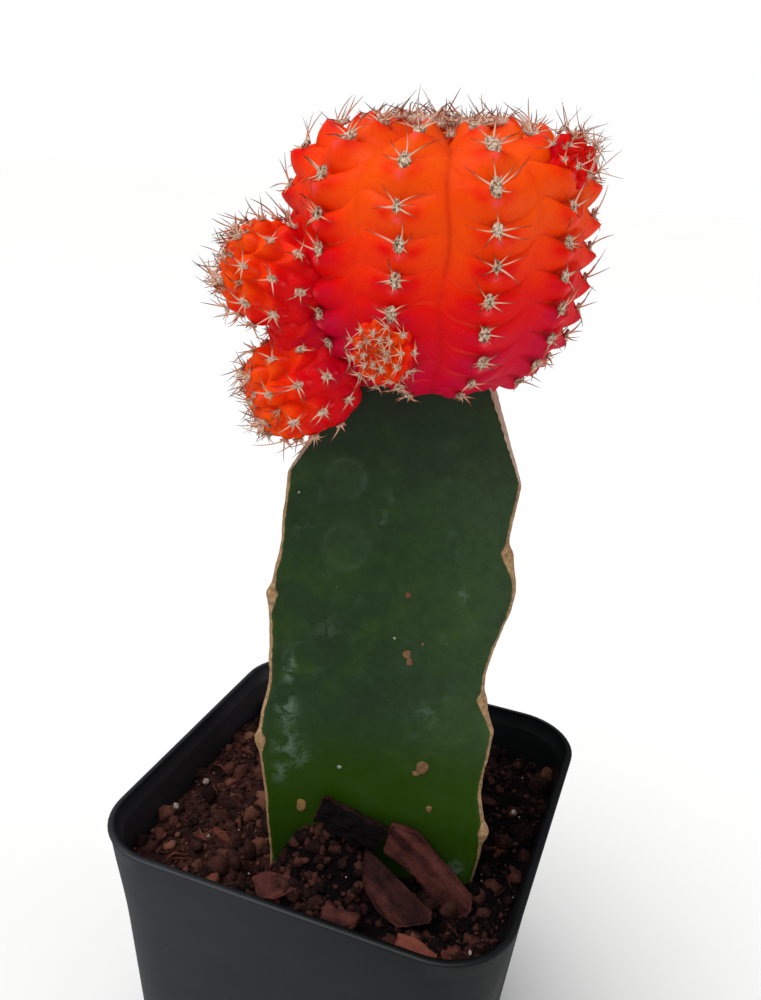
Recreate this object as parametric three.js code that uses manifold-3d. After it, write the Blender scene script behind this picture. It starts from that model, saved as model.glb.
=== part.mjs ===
// Potted moon cactus: a ribbed orange-red head with young offsets, grafted on a green
// three-winged stem that stands in potting mix in a square nursery pot.
// Millimetres, +Z up. The origin is the middle of the pot's underside; -Y is the pot's front.
import * as THREE from "three";
import Module from "manifold-3d";

const wasm = await Module();
wasm.setup();

// ------------------------------------------------------------------ driving sizes
const gap = 0.3; // clearance between neighbouring solids

const pot = {
  side: 80, // over the rim
  height: 72,
  taper: 6.4, // how much further in the wall stands at the base than at the rim, each side
  cornerAtRim: 13.5,
  cornerAtBase: 10,
  lip: 0.9, // rim's overhang past the wall
  lipHeight: 2.6,
  rimWidth: 2,
  wall: 1.2,
  floor: 1.6,
  drainRadius: 4,
  drainOffset: 19,
};

const soil = {
  level: 63, // general height of the mix in the pot
  relief: 1.3,
  rings: 7,
  moundAt: [1.8, -20.2], // the mix is heaped up against the stem's front
  moundHeight: 11.5,
  moundRadius: [9, 8], // along the stem's face, and out from it
};

// The stem's broad front face is a vertical plane. "along" runs along it, "inward" into the stem.
const faceTurn = THREE.MathUtils.degToRad(17.2);
const along = new THREE.Vector3(Math.cos(faceTurn), Math.sin(faceTurn), 0);
const inward = new THREE.Vector3(-Math.sin(faceTurn), Math.cos(faceTurn), 0);
const stem = {
  faceMiddle: new THREE.Vector3(9.5, -16.8, 0),
  depth: 33, // from the front face to the back wing's margin
  halfWidth: 20,
  marginRadius: 1.2,
  frontSag: 1.2, // how far the front face is hollowed between its margins
  sideSag: 3.2,
  bottom: 40, // cut end, down in the mix
  top: 161.5,
  shoulders: [141.5, 143.7, 142.5], // where each wing starts to be cut away under the graft
  cutFacing: [-171, -9, 90], // which way each cut faces, from the front face's direction
  cutReach: [20.1, 20.1, 22], // from the stem's middle to each cut at its shoulder
  cutSlopes: [0.644, 0.518, 0.5], // how far each cut runs in per millimetre of height
  // How the wavy margins run: height above the mix, then reach from the middle.
  leftMargin: [[0, 19.5], [14, 20.6], [30, 22.4], [44, 20.9], [57, 21.3], [70, 19.6], [82, 19]],
  rightMargin: [
    [0, 19.8], [12, 20.6], [22, 19], [34, 19.8], [42, 17.1], [63, 20.6], [71, 18.6], [82, 19.4],
  ],
  backMargin: [[0, 20], [18, 21.2], [33, 19], [50, 21], [64, 18.8], [82, 20]],
};

// A head: a globe of ribs around an axis. Its meridian is a superellipse in two halves.
const head = {
  name: "scion_head",
  base: new THREE.Vector3(9.2, -5.9, 158.4), // middle of its underside, on the graft
  lean: new THREE.Vector3(-0.0, -0.085, 1), // direction of its axis
  zeroRib: -53.7, // azimuth of the first rib, degrees
  ribs: 11,
  radius: 23.9,
  above: 16.6, // from the widest level to the top
  below: 25.6, // from the underside to the widest level
  powerAbove: 3.3,
  powerBelow: 2.9,
  pitch: 4.75, // from one areole to the next along a rib
  stretch: 5.4, // extra length taken up by the big tubercles on the shoulder
  areoles: 13,
  groove: 3.4,
  lowGroove: 0.24, // share of that left lower down
  tubercle: 2.3,
  lowTubercle: 0.75, // share of that left at the underside
  lead: 0.1, // how far the notch stands above its areole, in steps
  nose: 1.15, // how far each tubercle's tip stands out
  calm: 0.62, // how much shallower the notches are on the side at calmSide
  calmSide: -70,
  lump: 0, // how far each tubercle stands out as a knob of its own
  crownDip: 2.4,
  phaseStep: 0.5,
  phaseFrom: 5, // two ribs with the same phase meet: this puts them at the back
  columnsPerRib: 4,
  rowsPerPitch: 4,
  spineLength: 4.6,
  spineRadius: 0.3,
  areoleRadius: 0.78,
  spines: [0, 2, 4],
  seed: 1,
};

// Offsets: small heads of the same make, sprouting from areoles of the big one.
const offsetMake = {
  ribs: 10,
  powerAbove: 2.3,
  powerBelow: 2.1,
  stretch: 0,
  groove: 0.3,
  lowGroove: 1,
  tubercle: 0,
  lowTubercle: 0.6,
  lead: 0,
  nose: 0,
  calm: 0,
  calmSide: 0,
  lump: 1.55,
  crownDip: 0.4,
  phaseStep: 0.5,
  phaseFrom: 0,
  columnsPerRib: 4,
  rowsPerPitch: 2,
  spineRadius: 0.26,
  areoleRadius: 0.5,
};
const offsets = [
  {
    ...offsetMake,
    name: "offset_upper_left",
    base: new THREE.Vector3(-2.9, -20.5, 172.1),
    lean: new THREE.Vector3(-0.86, -0.42, 0.36),
    zeroRib: 10,
    radius: 8,
    above: 7.9,
    below: 10.4,
    powerBelow: 2.6,
    pitch: 4.4,
    areoles: 5,
    spineLength: 3.9,
    spines: [1, 4],
    seed: 2,
  },
  {
    ...offsetMake,
    name: "offset_lower_left",
    base: new THREE.Vector3(1, -18.3, 162.3),
    lean: new THREE.Vector3(-0.78, -0.5, -0.34),
    zeroRib: 30,
    radius: 8.4,
    above: 8.2,
    below: 10.4,
    powerBelow: 2.6,
    pitch: 4.5,
    areoles: 5,
    spineLength: 3.9,
    spines: [1, 4],
    seed: 3,
  },
  {
    ...offsetMake,
    name: "offset_front",
    base: new THREE.Vector3(9.3, -26, 167.2),
    lean: new THREE.Vector3(-0.1, -1, 0.08),
    zeroRib: 0,
    ribs: 11,
    radius: 5,
    above: 2.8,
    below: 3.2,
    pitch: 1.9,
    areoles: 5,
    groove: 0.2,
    lump: 0.8,
    spineLength: 2.3,
    spineRadius: 0.22,
    spines: [1, 4],
    seed: 4,
  },
  {
    ...offsetMake,
    name: "offset_upper_right",
    base: new THREE.Vector3(27.2, -12.2, 193.1),
    lean: new THREE.Vector3(0.62, -0.6, 0.42),
    zeroRib: 20,
    ribs: 8,
    radius: 4.1,
    above: 3.4,
    below: 3.2,
    pitch: 2.3,
    areoles: 4,
    groove: 0.2,
    lump: 1,
    spineLength: 2.8,
    spineRadius: 0.22,
    spines: [1, 4],
    seed: 5,
  },
];

// Bark chips, placed on the front face's plane: s along it, h above the mix, out in front of it.
// "run" is the direction of the grain as an angle down from the face's own direction and "tip"
// is how far the chip is tipped back from upright, in degrees. The outline's corners lie along
// the grain and across it.
const chips = [
  {
    s: 11.4, h: 4.6, out: 3.2, thick: 2, run: -44, tip: 14, bow: 0.3,
    outline: [[-13, 1.6], [-10, -3], [-1.8, -2], [4.1, -3], [9.2, -1.6], [9.8, 1.4], [8, 3.4], [1.4, 3.6],
      [-8.6, 4]],
  },
  {
    s: 4.6, h: 2.6, out: 7.6, thick: 2.2, run: -44, tip: 44, bow: 0.5,
    outline: [[-10.2, 2.1], [-6, -2.4], [0.3, -3.5], [4.3, -2.4], [7.6, 2.4], [6.4, 4], [-1.2, 3]],
  },
  {
    s: -4.4, h: 13.2, out: 2.7, thick: 1.8, run: -21, tip: 8, bow: 0.2,
    outline: [[-7.2, 4.2], [-6.2, -1.6], [1.3, -2.6], [5.4, -1.2], [6.2, 3.6]],
  },
  {
    s: -17.2, h: 2.3, out: 6.6, thick: 3.4, run: 24, tip: 62, bow: 0,
    outline: [[-3.6, 2.4], [-3.9, -1.6], [-0.6, -3], [2.2, -1.4], [4.2, -1.8], [4.4, 1.4], [0.8, 2.6]],
  },
  {
    s: -5, h: 1.8, out: 12.6, thick: 1.8, run: -12, tip: 66, bow: 0,
    outline: [[-3.6, 2.2], [-3, -1.4], [0.4, -2.8], [3.4, -1], [4, 1.8], [0.8, 1]],
  },
  {
    s: 9.4, h: 1.7, out: 18, thick: 1.6, run: -30, tip: 64, bow: 0.2,
    outline: [[-4.2, 0.4], [-3.4, -1.7], [0.6, -1.9], [3.8, -0.6], [3.4, 1.2], [-1.4, 1.5]],
  },
];

// ------------------------------------------------------------------ materials
function finish(colour, roughness) {
  return new THREE.MeshStandardMaterial({ color: colour, roughness, metalness: 0 });
}
const blackPlastic = finish(0x25292b, 0.45);
const pottingMix = finish(0x2f211b, 0.95);
const greenSkin = finish(0x23451a, 0.5);
const redFlesh = finish(0xd8391c, 0.42);
const youngFlesh = finish(0xe2501f, 0.42);
const bark = finish(0x5b2f26, 0.9);

// ------------------------------------------------------------------ helpers
// A repeatable value from 0 to 1 for three whole numbers.
function chance(a, b, c) {
  const value = Math.sin(a * 12.9898 + b * 78.233 + c * 37.719) * 43758.5453;
  return value - Math.floor(value);
}

function smooth(from, to, value) {
  return THREE.MathUtils.smoothstep(value, from, to);
}

function toSolid(points, triangles) {
  const vertProperties = new Float32Array(points.flatMap((p) => [p.x, p.y, p.z]));
  const triVerts = new Uint32Array(triangles.flat());
  return new wasm.Manifold(new wasm.Mesh({ numProp: 3, vertProperties, triVerts }));
}

// A closed skin over a stack of loops, each with as many points, closed by a point at both ends.
function loft(loops, firstPoint, lastPoint) {
  const count = loops[0].length;
  const points = [...loops.flat(), firstPoint, lastPoint];
  const first = points.length - 2;
  const last = points.length - 1;
  const top = (loops.length - 1) * count;
  const triangles = [];
  for (let i = 0; i < count; i++) {
    const next = (i + 1) % count;
    triangles.push([first, next, i], [last, top + i, top + next]);
    for (let row = 0; row < top; row += count) {
      triangles.push([row + i, row + next, row + count + next]);
      triangles.push([row + i, row + count + next, row + count + i]);
    }
  }
  return toSolid(points, triangles);
}

// One loop of a rounded square, counterclockwise from above, with extra points on its sides.
function roundedSquare(half, corner, z, steps = 6, extra = 0) {
  const loop = [];
  for (let quarter = 0; quarter < 4; quarter++) {
    const middle = (quarter + 0.5) * (Math.PI / 2);
    const reach = (half - corner) * Math.SQRT2;
    for (let step = 0; step < steps; step++) {
      const angle = (quarter + step / (steps - 1)) * (Math.PI / 2);
      loop.push(new THREE.Vector3(
        reach * Math.cos(middle) + corner * Math.cos(angle),
        reach * Math.sin(middle) + corner * Math.sin(angle),
        z,
      ));
    }
  }
  return loop.flatMap((point, i) => {
    if ((i + 1) % steps) return [point];
    const next = loop[(i + 1) % loop.length];
    return Array.from({ length: extra + 1 }, (_, j) => point.clone().lerp(next, j / (extra + 1)));
  });
}

// Puts a solid's points on a fine grid, so that points that a cut leaves almost together become
// one, and drops the faces that collapse. Nothing comes back if two edges fall together.
function onGrid(solid, step) {
  const { vertProperties, triVerts } = solid.getMesh();
  const numbers = new Map();
  const points = [];
  const renumbered = [];
  for (let i = 0; i < vertProperties.length; i += 3) {
    const place = [...vertProperties.slice(i, i + 3)].map((value) => Math.round(value / step));
    const key = place.join();
    if (!numbers.has(key)) {
      numbers.set(key, points.length);
      points.push(new THREE.Vector3(...place).multiplyScalar(step));
    }
    renumbered.push(numbers.get(key));
  }
  const triangles = [];
  const edges = new Set();
  for (let i = 0; i < triVerts.length; i += 3) {
    const face = [...triVerts.slice(i, i + 3)].map((number) => renumbered[number]);
    if (new Set(face).size < 3) continue;
    triangles.push(face);
    for (let side = 0; side < 3; side++) {
      const edge = `${face[side]} ${face[(side + 1) % 3]}`;
      if (edges.has(edge)) return null;
      edges.add(edge);
    }
  }
  return toSolid(points, triangles);
}

// The largest body of a solid, cleaned: scraps that a cut leaves loose are dropped.
function wholeBody(solid) {
  const bodies = solid.simplify(0.02).decompose();
  const largest = bodies.reduce((a, b) => (b.volume() > a.volume() ? b : a));
  for (const step of [0.004, 0.003, 0.005, 0.006, 0.007, 0.008, 0.009, 0.01, 0.012, 0.014, 0.002]) {
    const clean = onGrid(largest, step);
    if (clean) return clean;
  }
  return largest;
}

function namedMesh(name, solid, material) {
  const { vertProperties, triVerts } = solid.getMesh();
  const geometry = new THREE.BufferGeometry();
  geometry.setAttribute("position", new THREE.Float32BufferAttribute(vertProperties, 3));
  geometry.setIndex(new THREE.Uint32BufferAttribute(triVerts, 1));
  geometry.computeVertexNormals();
  const mesh = new THREE.Mesh(geometry, material);
  mesh.name = name;
  return mesh;
}

// ------------------------------------------------------------------ pot
// How far the outside of the wall stands from the middle at a height.
function wallAt(z) {
  return pot.side / 2 - pot.lip - pot.taper * (1 - z / pot.height);
}

function cornerAt(z) {
  return THREE.MathUtils.lerp(pot.cornerAtBase, pot.cornerAtRim, z / pot.height);
}

function makePot() {
  const rim = pot.height;
  const under = rim - pot.lipHeight;
  const outside = (z, out) => roundedSquare(wallAt(z) + out, cornerAt(z) + out, z);
  const loops = [
    roundedSquare(wallAt(0) - 1.2, cornerAt(0) - 1.2, 0),
    outside(1.2, 0),
    outside(under - 1, 0),
    outside(under, pot.lip),
    outside(rim - 0.6, pot.lip),
    roundedSquare(pot.side / 2 - 0.5, pot.cornerAtRim - 0.5, rim),
    roundedSquare(pot.side / 2 - pot.rimWidth + 0.4, pot.cornerAtRim - 1.6, rim),
    roundedSquare(pot.side / 2 - pot.rimWidth, pot.cornerAtRim - pot.rimWidth, rim - 0.5),
    outside(under - 1, -pot.wall),
    outside(pot.floor + 1, -pot.wall),
    roundedSquare(wallAt(pot.floor) - pot.wall - 1, cornerAt(0) - pot.wall - 1, pot.floor),
  ];
  let solid = loft(loops, new THREE.Vector3(0, 0, 0), new THREE.Vector3(0, 0, pot.floor));
  for (const [x, y] of [[1, 1], [-1, 1], [-1, -1], [1, -1]]) {
    const hole = new THREE.Vector3(x * pot.drainOffset, y * pot.drainOffset, 0);
    const circle = (z) => Array.from({ length: 12 }, (_, i) => {
      const angle = (i * Math.PI) / 6;
      return new THREE.Vector3(Math.cos(angle), Math.sin(angle), 0)
        .multiplyScalar(pot.drainRadius).add(hole).setZ(z);
    });
    const end = (z) => hole.clone().setZ(z);
    solid = solid.subtract(loft([circle(-1), circle(pot.floor + 1)], end(-1), end(pot.floor + 1)));
  }
  return solid;
}

// ------------------------------------------------------------------ rootstock
// Which way each margin and each face points, from the front face's direction.
const marginFacing = [-150, -30, 90];
const faceFacing = [-90, 30, 150];

// A margin's reach at a height, eased from one of its listed places to the next.
function marginReach(places, height) {
  const next = places.findIndex(([h]) => h > height);
  if (next === 0) return places[0][1];
  if (next < 0) return places.at(-1)[1];
  const [[h0, reach0], [h1, reach1]] = [places[next - 1], places[next]];
  return THREE.MathUtils.lerp(reach0, reach1, smooth(h0, h1, height));
}

// Share of the plain section that a wing has at a height: its margin's waves, narrowing to the
// cut end down in the mix.
function wingShare(z, side) {
  const places = [stem.leftMargin, stem.rightMargin, stem.backMargin][side];
  const root = THREE.MathUtils.lerp(0.72, 1, smooth(stem.bottom, soil.level - 4, z));
  return (marginReach(places, z - soil.level) / stem.halfWidth) * root;
}

// One level loop of the stem: three rounded margins joined by hollowed faces.
function stemLoop(z, inflate = 0) {
  const middle = stem.faceMiddle.clone().addScaledVector(inward, stem.depth / 3).setZ(z);
  const size = [0, 1, 2].map((side) => wingShare(z, side));
  const corner = (side) => {
    const s = [-stem.halfWidth, stem.halfWidth, 0][side] + stem.marginRadius * [1, -1, 0][side];
    const back = side === 2 ? stem.depth - stem.marginRadius : stem.marginRadius;
    const full = stem.faceMiddle.clone().addScaledVector(along, s).addScaledVector(inward, back);
    return full.setZ(z).lerp(middle, 1 - size[side]);
  };
  const loop = [];
  for (let side = 0; side < 3; side++) {
    const here = corner(side);
    const next = corner((side + 1) % 3);
    for (const turn of [-62, 0, 62]) {
      const angle = THREE.MathUtils.degToRad(marginFacing[side] + turn) + faceTurn;
      const out = new THREE.Vector3(Math.cos(angle), Math.sin(angle), 0);
      loop.push(here.clone().addScaledVector(out, stem.marginRadius + inflate));
    }
    const angle = THREE.MathUtils.degToRad(faceFacing[side]) + faceTurn;
    const out = new THREE.Vector3(Math.cos(angle), Math.sin(angle), 0);
    const sag = (side === 0 ? stem.frontSag : stem.sideSag) * (size[side] > 0.8 ? 1 : size[side] ** 2);
    for (let step = 1; step < 6; step++) {
      const t = step / 6;
      const depth = stem.marginRadius * 0.95 + inflate - sag * 4 * t * (1 - t);
      loop.push(here.clone().lerp(next, t).addScaledVector(out, depth));
    }
  }
  return loop;
}

function makeStem(inflate = 0) {
  const heights = [stem.bottom - inflate];
  for (let z = stem.bottom + 9; z < stem.top - 12; z += 5.6) heights.push(z);
  heights.push(stem.top);
  const loops = heights.map((z) => stemLoop(z, inflate));
  const end = (z) => stem.faceMiddle.clone().addScaledVector(inward, stem.depth / 3).setZ(z);
  return loft(loops, end(heights[0]), end(stem.top));
}

// The block that slices one wing off along a slope, up to the graft.
function shoulderCut(side) {
  const angle = THREE.MathUtils.degToRad(stem.cutFacing[side]) + faceTurn;
  const out = new THREE.Vector3(Math.cos(angle), Math.sin(angle), 0);
  const across = new THREE.Vector3(-out.y, out.x, 0);
  const middle = stem.faceMiddle.clone().addScaledVector(inward, stem.depth / 3);
  const loop = (z) => [[0, -1], [1, -1], [1, 1], [0, 1]].map(([far, end]) => (
    middle.clone()
      .addScaledVector(out, stem.cutReach[side] - slope * (z - stem.shoulders[side]) + far * 40)
      .addScaledVector(across, end * 40).setZ(z)));
  const slope = stem.cutSlopes[side];
  const centre = (points) => points.reduce((sum, p) => sum.add(p), new THREE.Vector3())
    .multiplyScalar(1 / points.length);
  const loops = [loop(stem.shoulders[side] - 3), loop(stem.top + 5)];
  return loft(loops, centre(loops[0]), centre(loops[1]));
}

function makeRootstock(scion) {
  let solid = makeStem();
  for (const side of [0, 1, 2]) solid = solid.subtract(shoulderCut(side));
  return wholeBody(solid.subtract(headBody(scion, gap)));
}

// ------------------------------------------------------------------ heads
// The meridian as equal steps of its length, from the top to the underside.
function meridianOf(spec) {
  const table = [];
  let length = 0;
  for (let i = 0; i <= 400; i++) {
    const angle = Math.PI * (0.5 - i / 400);
    const up = angle > 0;
    const power = 2 / (up ? spec.powerAbove : spec.powerBelow);
    const reach = up ? spec.above : spec.below;
    const r = spec.radius * Math.abs(Math.cos(angle)) ** power;
    const z = spec.below + Math.sign(angle) * reach * Math.abs(Math.sin(angle)) ** power;
    if (i) length += Math.hypot(r - table[i - 1].r, z - table[i - 1].z);
    table.push({ r: i % 400 ? r : 0, z, length });
  }
  return table;
}

function alongMeridian(table, length) {
  const wanted = THREE.MathUtils.clamp(length, 0, table.at(-1).length);
  let i = 1;
  while (i < table.length - 1 && table[i].length < wanted) i++;
  const [a, b] = [table[i - 1], table[i]];
  const t = (wanted - a.length) / (b.length - a.length || 1);
  const [before, after] = [table[Math.max(i - 4, 0)], table[Math.min(i + 3, table.length - 1)]];
  const slope = Math.hypot(after.r - before.r, after.z - before.z);
  return {
    r: THREE.MathUtils.lerp(a.r, b.r, t),
    z: THREE.MathUtils.lerp(a.z, b.z, t),
    normalR: (before.z - after.z) / slope,
    normalZ: (after.r - before.r) / slope,
  };
}

// Frame, meridian and relief of one head, worked out once.
function prepare(spec) {
  const up = spec.lean.clone().normalize();
  const turn = new THREE.Quaternion().setFromUnitVectors(new THREE.Vector3(0, 0, 1), up);
  const table = meridianOf(spec);
  return { ...spec, turn, table, total: table.at(-1).length };
}

// Length along the meridian of areole number k.
function areoleLength(spec, k) {
  return spec.pitch * k + spec.stretch * smooth(1.5, 5.5, k);
}

// Neighbouring ribs carry their areoles half a step apart.
function phaseOf(spec, u, k) {
  const rib = Math.floor(u);
  const phase = (i) => (
    spec.phaseStep * ((((i + spec.phaseFrom) % spec.ribs) + spec.ribs) % spec.ribs % 2));
  const mixed = THREE.MathUtils.lerp(phase(rib), phase(rib + 1), smooth(0.3, 0.7, u - rib));
  return mixed * smooth(0, 1.5, k) * (1 - smooth(spec.areoles - 1, spec.areoles + 0.5, k));
}

// A soft bump around zero.
function bell(value, width) {
  return Math.exp(-((value / width) ** 2));
}

// The skin: u counts ribs around the axis, k counts areoles down from the top. The smooth globe
// is pressed in by grooves between the ribs and by a notch above each areole, which rises to the
// grooves like a chevron. Below the notch the flesh juts out fast and then falls back to the
// next. Offsets are knobs instead, each with its areole near its tip. The crown dips.
function skinPoint(spec, u, k, inflate = 0) {
  const across = Math.abs(2 * (u - Math.round(u)));
  const middle = smooth(0.8, 2.2, k) * (1 - smooth(spec.areoles - 2, spec.areoles, k));
  const rise = 0.42 * middle * across ** 1.3;
  const length = areoleLength(spec, Math.max(k + phaseOf(spec, u, k) - rise, 0));
  const at = alongMeridian(spec.table, length);
  const azimuth = THREE.MathUtils.degToRad(spec.zeroRib + (360 / spec.ribs) * u);
  const aside = azimuth - THREE.MathUtils.degToRad(spec.calmSide);
  const calm = spec.calm * bell(Math.atan2(Math.sin(aside), Math.cos(aside)), 0.75)
    * smooth(1.5, 3, k);
  const fromTop = smooth(0, 3 * spec.pitch, length);
  const grooveShare = THREE.MathUtils.lerp(0.1, 1, smooth(0, 5 * spec.pitch, spec.total - length))
    * THREE.MathUtils.lerp(1, spec.lowGroove, smooth(2, 5, k)) * smooth(0, 2 * spec.pitch, length);
  const lower = smooth(spec.areoles * 0.35, spec.areoles * 0.7, k);
  const tooth = (k + spec.lead) % 1;
  const slopes = Math.min(tooth / 0.35, (1 - tooth) / 0.65) ** 0.8;
  const juts = THREE.MathUtils.lerp(slopes, Math.sin(Math.PI * tooth ** 0.8) ** 1.1, calm);
  const notch = spec.tubercle * (0.35 + 0.65 * fromTop)
    * THREE.MathUtils.lerp(1, spec.lowTubercle, lower) * (1 - calm)
    * (1 - smooth(spec.areoles - 1.2, spec.areoles, k));
  const nose = spec.nose * (1 - calm) * juts * bell(across, 0.36) * smooth(1, 3, k);
  const fromTip = Math.abs(((k + 0.38) % 1) - 0.5) * 2;
  const knob = Math.min(fromTip ** 1.9 + across ** 1.9, 1.35) * (0.45 + 0.55 * fromTop)
    * (1 - 0.75 * smooth(spec.areoles - 3, spec.areoles - 0.5, k));
  const depth = spec.groove * grooveShare * across ** 1.4
    + notch * (1 - juts) * (1 - across ** 1.6) - nose + (spec.nose > 0 ? 0.3 : 0)
    + spec.lump * knob + spec.crownDip * (1 - smooth(0, 2 * spec.pitch, length));
  const r = Math.max(at.r + at.normalR * (inflate - depth), 0);
  return new THREE.Vector3(r * Math.cos(azimuth), r * Math.sin(azimuth),
    at.z + at.normalZ * (inflate - depth))
    .applyQuaternion(spec.turn).add(spec.base);
}

function headBody(spec, inflate = 0) {
  const columns = spec.ribs * spec.columnsPerRib;
  const rows = [];
  const lastK = (spec.total - spec.stretch) / spec.pitch;
  const rowCount = Math.floor(lastK * spec.rowsPerPitch);
  for (let row = rowCount; row > 0; row--) {
    const k = (row - 0.5) / spec.rowsPerPitch;
    if (lastK - k < 0.2) continue;
    rows.push(Array.from({ length: columns }, (_, i) => (
      skinPoint(spec, i / spec.columnsPerRib, k, inflate))));
  }
  return loft(rows, skinPoint(spec, 0, lastK + 1, inflate), skinPoint(spec, 0, 0, inflate));
}

// Spines: straight needles in a fan around each areole, longest near the top.
function spinesOf(spec) {
  const list = [];
  for (let rib = 0; rib < spec.ribs; rib++) {
    for (let k = 1; k < spec.areoles; k++) {
      const root = skinPoint(spec, rib, k);
      const above = skinPoint(spec, rib, k - 0.4);
      const below = skinPoint(spec, rib, k + 0.4);
      const beside = skinPoint(spec, rib + 0.2, k).sub(skinPoint(spec, rib - 0.2, k)).normalize();
      const upward = above.sub(below).normalize();
      const outward = new THREE.Vector3().crossVectors(beside, upward).normalize();
      for (const m of spec.spines) {
        const tag = spec.seed * 100 + rib;
        const angle = THREE.MathUtils.degToRad(30 + 60 * m + 30 * (chance(tag, k, m) - 0.5));
        const tilt = THREE.MathUtils.degToRad(48 + 16 * chance(tag, k, m + 10));
        const length = spec.spineLength * (0.8 + 0.35 * chance(tag, k, m + 20))
          * (1 - 0.3 * smooth(2, spec.areoles, k));
        const direction = outward.clone().multiplyScalar(Math.cos(tilt))
          .addScaledVector(beside, Math.sin(tilt) * Math.cos(angle))
          .addScaledVector(upward, Math.sin(tilt) * Math.sin(angle));
        const spread = direction.clone().addScaledVector(outward, -Math.cos(tilt));
        const start = root.clone().addScaledVector(spread, spec.areoleRadius);
        list.push({
          foot: start.clone().addScaledVector(direction, -0.9),
          root: start,
          tip: start.clone().addScaledVector(direction, length),
          radius: spec.spineRadius,
        });
      }
    }
  }
  return list;
}

function needle({ foot, tip, radius }) {
  const axis = tip.clone().sub(foot).normalize();
  const side = new THREE.Vector3(0.31, 0.57, 0.76).cross(axis).normalize();
  const other = new THREE.Vector3().crossVectors(axis, side);
  const ring = [0, 1, 2].map((i) => foot.clone()
    .addScaledVector(side, radius * Math.cos((i * 2 * Math.PI) / 3))
    .addScaledVector(other, radius * Math.sin((i * 2 * Math.PI) / 3)));
  return toSolid([...ring, tip], [[0, 2, 1], [0, 1, 3], [1, 2, 3], [2, 0, 3]]);
}

// Whether a point lies in a head's smooth globe, grown by a margin.
function insideHead(spec, point, margin) {
  const local = point.clone().sub(spec.base).applyQuaternion(spec.turn.clone().invert());
  const z = local.z - spec.below;
  const r = Math.hypot(local.x, local.y) / (spec.radius + margin);
  const reach = (z > 0 ? spec.above : spec.below) + margin;
  const power = z > 0 ? spec.powerAbove : spec.powerBelow;
  return r ** power + Math.abs(z / reach) ** power < 1;
}

// The same for the stem, taken as the plain prism of its three faces.
function insideStem(point, margin) {
  if (point.z > stem.top + margin) return false;
  const middle = stem.faceMiddle.clone().addScaledVector(inward, stem.depth / 3);
  return faceFacing.every((degrees) => {
    const angle = THREE.MathUtils.degToRad(degrees) + faceTurn;
    const away = (point.x - middle.x) * Math.cos(angle) + (point.y - middle.y) * Math.sin(angle);
    return away < stem.depth / 3 + margin;
  });
}

// Closest distance of two straight spines, from a few points on each.
function spinesApart(a, b) {
  let least = Infinity;
  for (let i = 0; i <= 6; i++) {
    const p = a.root.clone().lerp(a.tip, i / 6);
    const run = new THREE.Line3(b.foot, b.tip);
    least = Math.min(least, run.closestPointToPoint(p, true, new THREE.Vector3()).distanceTo(p));
  }
  return least;
}

// A spine is kept where it runs clear of every other piece.
function clearOf(spine, otherHeads, otherSpines) {
  for (let i = 0; i <= 8; i++) {
    const point = spine.root.clone().lerp(spine.tip, i / 8);
    if (otherHeads.some((other) => insideHead(other, point, 0.6))) return false;
    if (insideStem(point, 1)) return false;
  }
  return otherSpines.every((other) => (
    other.root.distanceTo(spine.root) > 12 || spinesApart(spine, other) > 0.9));
}

function makeHeads() {
  const heads = [head, ...offsets].map(prepare);
  const taken = [];
  return heads.map((spec, index) => {
    const others = heads.filter((other) => other !== spec);
    const rooted = spinesOf(spec).filter((spine) => (
      others.every((other) => !insideHead(other, spine.root, 0.4)) && clearOf(spine, others, taken)));
    taken.push(...rooted);
    let solid = headBody(spec);
    for (const spine of rooted) solid = solid.add(needle(spine));
    for (const other of heads.slice(0, index)) solid = solid.subtract(headBody(other, gap));
    if (index > 0) solid = solid.subtract(makeStem(gap));
    return { spec, solid: wholeBody(solid) };
  });
}

// ------------------------------------------------------------------ bark chips
function makeChip(spec, inflate = 0) {
  const run = THREE.MathUtils.degToRad(spec.run);
  const tip = THREE.MathUtils.degToRad(spec.tip);
  const up = new THREE.Vector3(0, 0, 1);
  const long = along.clone().multiplyScalar(Math.cos(run)).addScaledVector(up, Math.sin(run));
  const across = along.clone().multiplyScalar(-Math.sin(run)).addScaledVector(up, Math.cos(run));
  const tipped = new THREE.Quaternion().setFromAxisAngle(along, -tip);
  long.applyQuaternion(tipped);
  across.applyQuaternion(tipped);
  const thick = new THREE.Vector3().crossVectors(long, across);
  const middle = stem.faceMiddle.clone().addScaledVector(along, spec.s)
    .addScaledVector(inward, -spec.out).setZ(soil.level + spec.h);
  const centre = spec.outline.reduce(([a, b], [x, y]) => [a + x, b + y], [0, 0])
    .map((sum) => sum / spec.outline.length);
  const place = (x, y, height) => middle.clone().addScaledVector(long, x)
    .addScaledVector(across, y).addScaledVector(thick, height + spec.bow * (x / 8) ** 2);
  const loop = (height, scale) => spec.outline.map(([x, y]) => {
    const away = Math.hypot(x - centre[0], y - centre[1]);
    const share = scale * (1 + (1.4 * inflate) / away);
    return place(centre[0] + (x - centre[0]) * share, centre[1] + (y - centre[1]) * share,
      height + Math.sign(height) * inflate);
  });
  const half = spec.thick / 2;
  const loops = [loop(-half, 0.93), loop(-half + 0.3, 1), loop(half - 0.3, 1), loop(half, 0.93)];
  const end = (height) => place(...centre, height + Math.sign(height) * inflate);
  return loft(loops, end(-half), end(half));
}

// ------------------------------------------------------------------ potting mix
function mixHeight(x, y) {
  const waves = Math.sin(x * 0.31 + 1.3) * Math.cos(y * 0.37) + 0.6 * Math.sin(x * 0.73 - y * 0.59);
  const fromMiddle = new THREE.Vector3(x - soil.moundAt[0], y - soil.moundAt[1], 0);
  const [wide, deep] = soil.moundRadius;
  const away = (fromMiddle.dot(along) / wide) ** 4 + (fromMiddle.dot(inward) / deep) ** 2;
  return soil.level + soil.relief * 0.6 * waves + soil.moundHeight * Math.exp(-away);
}

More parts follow.
